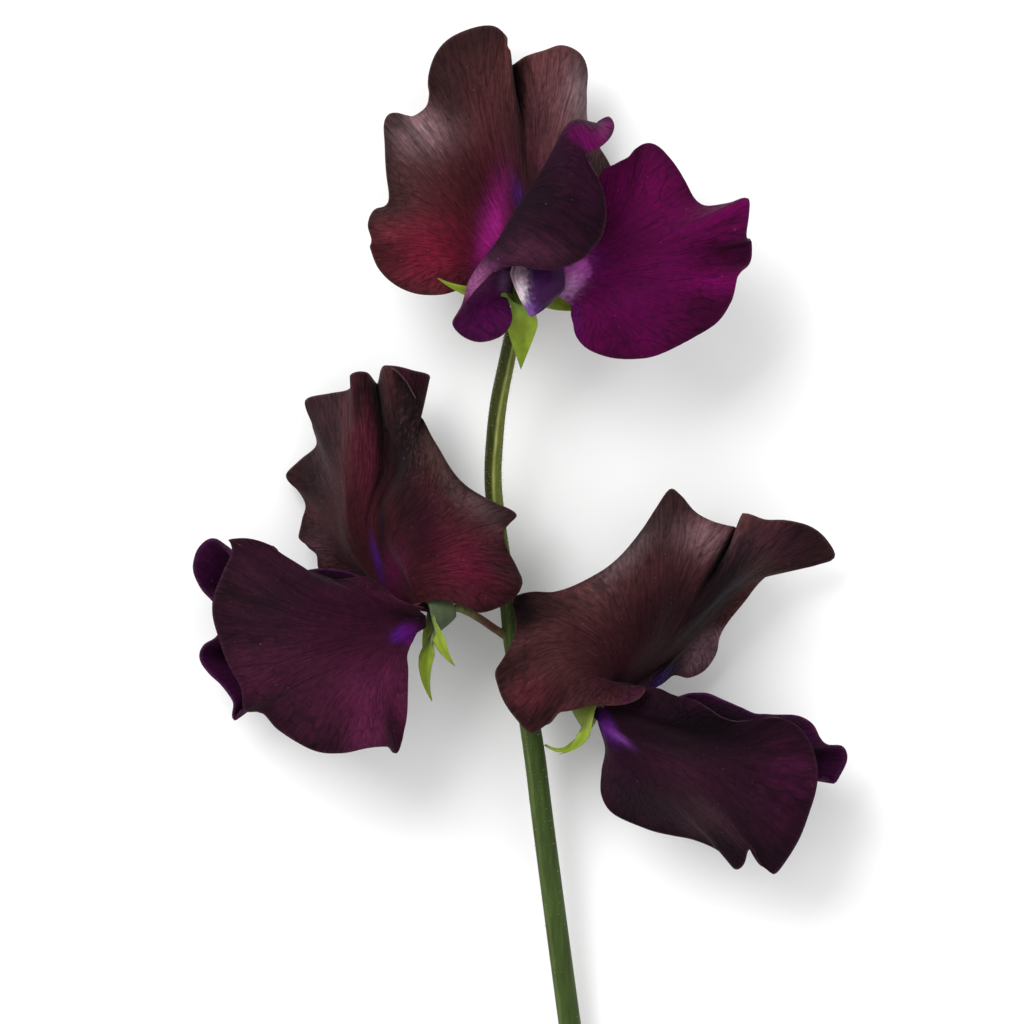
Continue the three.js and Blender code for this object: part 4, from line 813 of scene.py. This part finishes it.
# Short pale hairs that stand out from the stalk
def stalkHairs(surface):
    chance = np.random.default_rng(hairs["seed"])
    fuzz = bmesh.new()
    fuzz.loops.layers.uv.new("petalMap")
    tintLayer = fuzz.verts.layers.float_color.new("tint")
    for _ in range(hairs["count"]):
        row = chance.integers(hairs["bareRows"], surface.shape[0] - hairs["bareRows"])
        column = chance.integers(0, surface.shape[1] - 1)
        root = surface[row, column]
        outward = unit(root - surface[row, :-1].mean(axis=0) + (0, hairs["lean"], 0))
        length = hairs["length"] * chance.uniform(hairs["shortest"], 1)
        middle = root + outward * length * hairs["rooted"]
        if middle[2] < hairs["clearance"]:
            continue
        turn = Vector(outward).to_track_quat("Z", "Y").to_matrix().to_4x4()
        turn.translation = placed(middle)
        bmesh.ops.create_cone(
            fuzz, cap_ends=True, segments=hairs["sides"], depth=length * millimetre,
            radius1=hairs["radius"] * millimetre, radius2=0, matrix=turn)
    for vert in fuzz.verts:
        vert[tintLayer] = (*linearColour(*hairs["colour"]), 1)
    return meshFrom("stalkHairs", fuzz)


# A painted highlight drifts round the stalk on its way up. Painted shade darkens the side before it
# high up and the side beyond it low down, and a painted sheen lightens the two sides seen from
# above.
def stalkTint(surface, place, angle):
    upper = smoothStep(*stalk["upperFrom"], place)[:, None, None]
    tint = mixed(plainTint(surface, stalk["groundLow"]), stalk["groundHigh"], upper)
    halfTurn = np.abs(math.pi - angle)[None, :, None]
    fromHighlight = halfTurn - (stalk["highlightAt"] + stalk["highlightDrift"] * place)[:, None, None]
    lowShare, highShare = stalk["shadeShare"]
    shadedSide = ((1 - smoothStep(*stalk["shadeBelow"], fromHighlight)) * upper * highShare
                + smoothStep(*stalk["shadeAbove"], fromHighlight) * (1 - upper) * lowShare)
    tint = mixed(tint, stalk["shadeColour"], shadedSide)
    lowShare, highShare = stalk["highlightShare"]
    highlightBand = bellCurve(fromHighlight, stalk["highlightWidth"])
    tint = mixed(tint, stalk["light"], highlightBand * (lowShare + (highShare - lowShare) * upper))
    # Painted sheen along the two sides seen from above
    edge = bellCurve(np.sin(halfTurn), stalk["sheenEdgeWidth"])
    return mixed(tint, stalk["edge"], stalk["edgeShare"] * edge)


def stalkRadius(place, angle):
    radius = np.interp(place, np.linspace(0, 1, len(stalk["radii"])), stalk["radii"])
    ridge = stalk["ridge"] * np.abs(np.cos(angle)) ** stalk["ridgeSharpness"]
    flute = stalk["fluteDepth"] * np.cos(stalk["flutes"] * angle + stalk["fluteDrift"] * place)
    radius = radius * (1 + ridge - stalk["inset"] + flute)
    return radius, radius


def pedicelRadius(place, angle):
    flare = 1 + pedicels["flare"] * bellCurve(place, pedicels["flareLength"])
    radius = pedicels["radius"] * flare * (1 + 0 * angle)
    return radius, radius


def makeStem():
    surface, place, angle = tubeSurface(stalk["line"], stalkRadius, (1, 0, 0),
                                        stalk["columns"], stalk["rows"])
    surface[..., 2] = np.maximum(surface[..., 2], stalk["lowest"])
    stalkMesh = sheetMesh("stalk", surface, stalkTint(surface, place, angle), closed=True)
    closeEnds(stalkMesh)
    meshes = [stalkMesh, stalkHairs(surface)]
    for side in ("left", "right"):
        surface, place, _ = tubeSurface(pedicels[side], pedicelRadius, (0, 0, 1),
                                        pedicels["columns"], pedicels["rows"])
        brown = bellCurve(place - pedicels["brownAt"], pedicels["brownWidth"])
        tint = mixed(plainTint(surface, pedicels["green"]), pedicels["brown"],
                     pedicels["brownShare"] * brown[:, None, None])
        mesh = sheetMesh(side + "Pedicel", surface, tint, closed=True)
        closeEnds(mesh)
        meshes.append(mesh)
    skin = plainMaterial("stemSkin", {
        "grain": (1800, 160, 1800), "shade": (0.56, 1), "relief": 0.25, "roughness": 0.55,
        "gloss": 0.12, "nap": 0.03})
    newObject("flowerStem", joinMeshes("flowerStem", meshes), ["stem"], [skin])


makeStem()
print("stem made")

# Each sepal: a bend, a tip and half the width of its blade, counted from the lower middle one
calyxShape = {
    "floorRadius": 0.8, "floorHole": 0.04, "floorReach": 0.5, "depth": 3, "mouthRadius": 2.4,
    "cupFullness": 0.75, "fullness": 1.7, "drip": 0.2, "dripPower": 4, "notch": 0.08,
    "turnEnd": 0.4, "cupRows": 16, "sepalRows": 40, "columnsPerSepal": 24, "thickness": 0.34,
    "blade": (134, 154, 48), "bladeEnd": 0.3, "margin": (196, 200, 128),
    "marginAt": (0.3, 0.5), "marginShare": 0.5, "rib": (104, 124, 26), "ribWidth": 0.12,
    "ribShare": 0.6,
}
calyces = {
    "calyxTop": {
        "node": "calyx_top", "floor": (1, 26.6, 14.1), "facing": (0.12, 0.42, 0.9),
        "upper": (0, 1, -0.4), "cup": (120, 146, 60),
        "sepals": [
            ((1.3, 22.4, 17.6), (1.1, 17.8, 15.2), (2.6, 0.2, 0)),
            ((5.6, 25.8, 16.4), (8.8, 25.1, 14.8), (0.2, 1.3, -0.3)),
            ((4, 29.6, 13), (5, 29.4, 9.4), (-1.2, 0.4, 0)),
            ((-1, 31.2, 13.6), (-3.6, 32, 11), (-0.8, -1, 0)),
            ((-5.4, 26.6, 20), (-9.2, 29.1, 18.8), (0, -1, -0.4)),
        ],
    },
    "calyxLeft": {
        "node": "calyx_left", "floor": (-7.2, -12, 14.2), "facing": (-0.96, -0.26, 0.06),
        "upper": (-0.26, 0.96, 0), "cup": (74, 86, 60),
        "sepals": [
            ((-11.9, -19.2, 14.2), (-10, -23.6, 12.8), (1.3, 0.1, 0.4)),
            ((-9, -17.4, 17.6), (-7.1, -19.2, 16.4), (0.9, 0.3, -0.4)),
            ((-8.9, -9.9, 13.6), (-8.6, -7.2, 12.2), (-0.8, 0, -0.8)),
            ((-10.2, -10, 10.8), (-12, -7.2, 9), (-0.8, -0.8, 0)),
            ((-10.8, -16.2, 10.2), (-10.8, -19.4, 8.8), (0.9, 0, 0.5)),
        ],
    },
    "calyxRight": {
        "node": "calyx_right", "floor": (7.8, -23.3, 12.4), "facing": (0.82, -0.55, 0.15),
        "upper": (0.55, 0.82, 0.1), "cup": (112, 124, 50),
        "sepals": [
            ((7.2, -31.2, 12.2), (4.1, -29.1, 11.2), (-0.25, 0.35, -0.45)),
            ((10.4, -26.6, 8.4), (9.2, -27.8, 7.4), (0.4, 0.5, -0.3)),
            ((12.4, -23.2, 9.8), (14.2, -21.2, 8.4), (0.6, 0.8, 0)),
            ((11.4, -22.4, 12.4), (12, -19.4, 11.2), (-0.5, 0.5, 0.3)),
            ((9.2, -29.4, 15.2), (5.8, -30.3, 13.8), (-0.95, 0.25, -0.3)),
        ],
    },
}


def makeCalyx(name, calyx, material):
    shape = calyxShape
    floor = np.array(calyx["floor"])
    facing = unit(np.array(calyx["facing"]))
    upper = np.array(calyx["upper"])
    upper = unit(upper - facing * (upper @ facing))
    across = np.cross(upper, facing)

    def ringPoint(radius, depth, angle):
        return (floor + facing * depth - upper * radius * math.cos(angle)
                + across * radius * math.sin(angle))

    count = len(calyx["sepals"])
    columns = shape["columnsPerSepal"] * count
    rows = shape["cupRows"] + shape["sepalRows"]
    surface = np.empty((rows + 1, columns + 1, 3))
    tint = plainTint(surface, calyx["cup"])
    for column in range(columns + 1):
        turn = column % columns / shape["columnsPerSepal"]
        nearest = math.floor(turn + 0.5)
        offset = turn - nearest
        angle = 2 * math.pi * turn / count
        base = ringPoint(shape["mouthRadius"], shape["depth"], 2 * math.pi * nearest / count)
        mouth = ringPoint(shape["mouthRadius"], shape["depth"], angle)
        bend, tip, halfBlade = (np.array(point) for point in calyx["sepals"][nearest % count])
        margin = shape["marginShare"] * smoothStep(*shape["marginAt"], abs(offset))
        rib = shape["ribShare"] * bellCurve(offset, shape["ribWidth"])
        green = mixed(mixed(linearColour(*shape["blade"]), shape["margin"], margin),
                      shape["rib"], rib)
        # The cup, from its floor to its mouth
        for row in range(shape["cupRows"] + 1):
            part = row / shape["cupRows"]
            wider = shape["mouthRadius"] - shape["floorRadius"]
            radius = shape["floorRadius"] + wider * part ** shape["cupFullness"]
            radius = shape["floorHole"] if row == 0 else radius
            surface[row, column] = ringPoint(radius, part * shape["depth"], angle)
        # The sepals, from the mouth over the bend to the tip
        fromRib = 2 * abs(offset)
        taper = 1 - fromRib ** shape["fullness"]
        taper = taper + ((1 - fromRib) ** shape["dripPower"] - taper) * shape["drip"]
        reach = shape["notch"] + (1 - shape["notch"]) * taper
        for row in range(shape["cupRows"] + 1, rows + 1):
            part = reach * (row - shape["cupRows"]) / shape["sepalRows"]
            turned = smoothStep(shape["notch"], shape["turnEnd"], part)
            middle = (1 - part) ** 2 * base + 2 * part * (1 - part) * bend + part ** 2 * tip
            side = (mouth - base) * (1 - turned) + halfBlade * 2 * offset * turned
            surface[row, column] = middle + side
            tint[row, column] += ((green - tint[row, column])
                                  * smoothStep(0, shape["bladeEnd"], part))
    mesh = sheetMesh(name, surface, tint, closed=True)
    closeEnds(mesh, placed(floor), shape["floorReach"] * millimetre)
    piece = newObject(name, mesh, [calyx["node"]], [material])
    addWall(piece, shape["thickness"])


sepalSkin = plainMaterial("sepalSkin", {
    "grain": (900, 600, 900), "shade": (0.66, 0.96), "relief": 0.2, "roughness": 0.5,
    "gloss": 0.12, "nap": 0.03})
for name, calyx in calyces.items():
    makeCalyx(name, calyx, sepalSkin)
print("calyces made")

# The top keel is seen end on, pale on its left side, with its lower edge drawn to a point
keelGrid = {"columns": 48, "rows": 80}
hiddenKeel = {"side": (0, 0, 1), "lowerEdge": 0, "ground": (70, 30, 104), "patches": [],
              "wide": [0.6, 0.9, 1.4, 1.6, 1.4, 0.9, 0.3]}
keels = {
    "keelTop": {
        "node": "keel_top", "side": (0.98, -0.16, 0), "lowerEdge": 0.66,
        "line": [(1.4, 27.5, 17), (1.5, 27.6, 18.2), (1.8, 27.8, 19.4), (2.6, 28.3, 20.4),
                 (3.1, 28.6, 21.2), (3.3, 28.8, 22), (3.4, 29, 22.7)],
        "wide": [0.6, 0.7, 1, 3.1, 3.7, 3.2, 1.6], "deep": [0.6, 0.9, 1.6, 4.2, 4.8, 3.8, 1.8],
        "ground": (58, 18, 84),
        "patches": [
            patch((2, 24.4, 21), (0.8, 0.9), 0.7, (150, 84, 160), deep=3),
            patch((0.4, 28.8, 21), (1.6, 3.4), 0.95, (158, 126, 146), deep=6, firm=3,
                  ragged=(0.5, 1.1)),
            patch((1, 26.8, 21), (0.8, 1.5), 0.85, (250, 236, 244), deep=6, ragged=(0.35, 1.4)),
            patch((1.7, 25, 21), (1.3, 1), 0.85, (124, 74, 156), deep=6, firm=2, ragged=(0.3, 1.6)),
            patch((4.9, 28.4, 21), (2.9, 4), 0.95, (52, 4, 58), deep=6, firm=5, ragged=(0.4, 0.6)),
        ],
    },
    "keelLeft": {
        **hiddenKeel, "node": "keel_left", "deep": [0.6, 1.2, 2.2, 2.7, 2.4, 1.4, 0.4],
        "line": [(-10.8, -13.7, 14.4), (-12.6, -14.2, 14.4), (-15, -14.9, 14.4),
                 (-18, -15.2, 14.4), (-21, -14.2, 14.4), (-23.4, -12.2, 14.4),
                 (-24.8, -10.2, 14.4)],
    },
    "keelRight": {
        **hiddenKeel, "node": "keel_right", "deep": [0.6, 1.2, 2, 2.5, 2.2, 1.3, 0.4],
        "line": [(11.1, -25.3, 13), (12.6, -26.4, 13), (14.8, -27.8, 12.8),
                 (17.6, -29.2, 12.4), (20.6, -29.6, 12), (23.2, -28.8, 11.8),
                 (25, -27.6, 11.8)],
    },
}


def makeKeel(name, keel, material):
    def keelRadius(place, angle):
        steps = np.linspace(0, 1, len(keel["wide"]))
        edge = (np.abs(np.cos(angle)) / (1 + np.abs(np.sin(angle)))) ** keel["lowerEdge"]
        wide = np.interp(place, steps, keel["wide"]) * np.where(np.sin(angle) < 0, edge, 1)
        deep = np.interp(place, steps, keel["deep"]) + 0 * angle
        return wide, deep

    surface, _, _ = tubeSurface(keel["line"], keelRadius, keel["side"], keelGrid["columns"],
                                keelGrid["rows"])
    tint = paintPatches(plainTint(surface, keel["ground"]), surface, keel["patches"])
    mesh = sheetMesh(name, surface, tint, closed=True)
    closeEnds(mesh)
    newObject(name, mesh, [keel["node"]], [material])


keelSkin = plainMaterial("keelSkin", {
    "grain": (1500, 1500, 1500), "shade": (0.6, 0.95), "relief": 0.25, "roughness": 0.5,
    "gloss": 0.1, "nap": 0.05})
for name, keel in keels.items():
    makeKeel(name, keel, keelSkin)
print("keels made")

room = {"floorSize": 3.0, "floorColour": (0.94, 0.94, 0.94), "floorRoughness": 0.9,
        "skyStrength": 0.8}
lamps = {
    "keyLight": {"place": (-0.45, 0.5, 0.75), "size": 0.6, "power": 7.5},
    "fillLight": {"place": (0.6, -0.3, 0.7), "size": 0.8, "power": 1.5},
}


def addLight(name, lamp):
    light = bpy.data.lights.new(name, "AREA")
    light.shape = "SQUARE"
    light.size = lamp["size"]
    light.energy = lamp["power"]
    holder = bpy.data.objects.new(name, light)
    holder.location = lamp["place"]
    holder.rotation_euler = (-Vector(lamp["place"])).to_track_quat("-Z", "Y").to_euler()
    bpy.context.scene.collection.objects.link(holder)


def makeRoom():
    ground = bmesh.new()
    bmesh.ops.create_grid(ground, x_segments=1, y_segments=1, size=room["floorSize"] / 2)
    mesh = meshFrom("table", ground)
    table = bpy.data.objects.new("table", mesh)
    bpy.context.scene.collection.objects.link(table)
    paper = bpy.data.materials.new("tablePaper")
    paper.use_nodes = True
    skin = paper.node_tree.nodes["Principled BSDF"]
    skin.inputs["Base Color"].default_value = (*room["floorColour"], 1)
    skin.inputs["Roughness"].default_value = room["floorRoughness"]
    mesh.materials.append(paper)
    sky = bpy.data.worlds.new("studio")
    sky.use_nodes = True
    background = sky.node_tree.nodes["Background"]
    background.inputs["Color"].default_value = (1, 1, 1, 1)
    background.inputs["Strength"].default_value = room["skyStrength"]
    bpy.context.scene.world = sky
    for name, lamp in lamps.items():
        addLight(name, lamp)


makeRoom()
print("table and lights made")

# The camera looks straight down, with the photo's middle at its aim and 128 mm in view
view = {"lens": 400, "sensor": 36, "seen": 0.128, "aim": (-0.00094, 0.014636, 0.012),
        "farthest": 50}


def addCamera():
    camera = bpy.data.cameras.new("camera")
    camera.lens = view["lens"]
    camera.sensor_width = view["sensor"]
    camera.clip_end = view["farthest"]
    holder = bpy.data.objects.new("camera", camera)
    away = view["seen"] * view["lens"] / view["sensor"]
    holder.location = (view["aim"][0], view["aim"][1], view["aim"][2] + away)
    bpy.context.scene.collection.objects.link(holder)
    bpy.context.scene.camera = holder


addCamera()
bpy.context.scene.view_settings.view_transform = "Standard"
print("camera set")
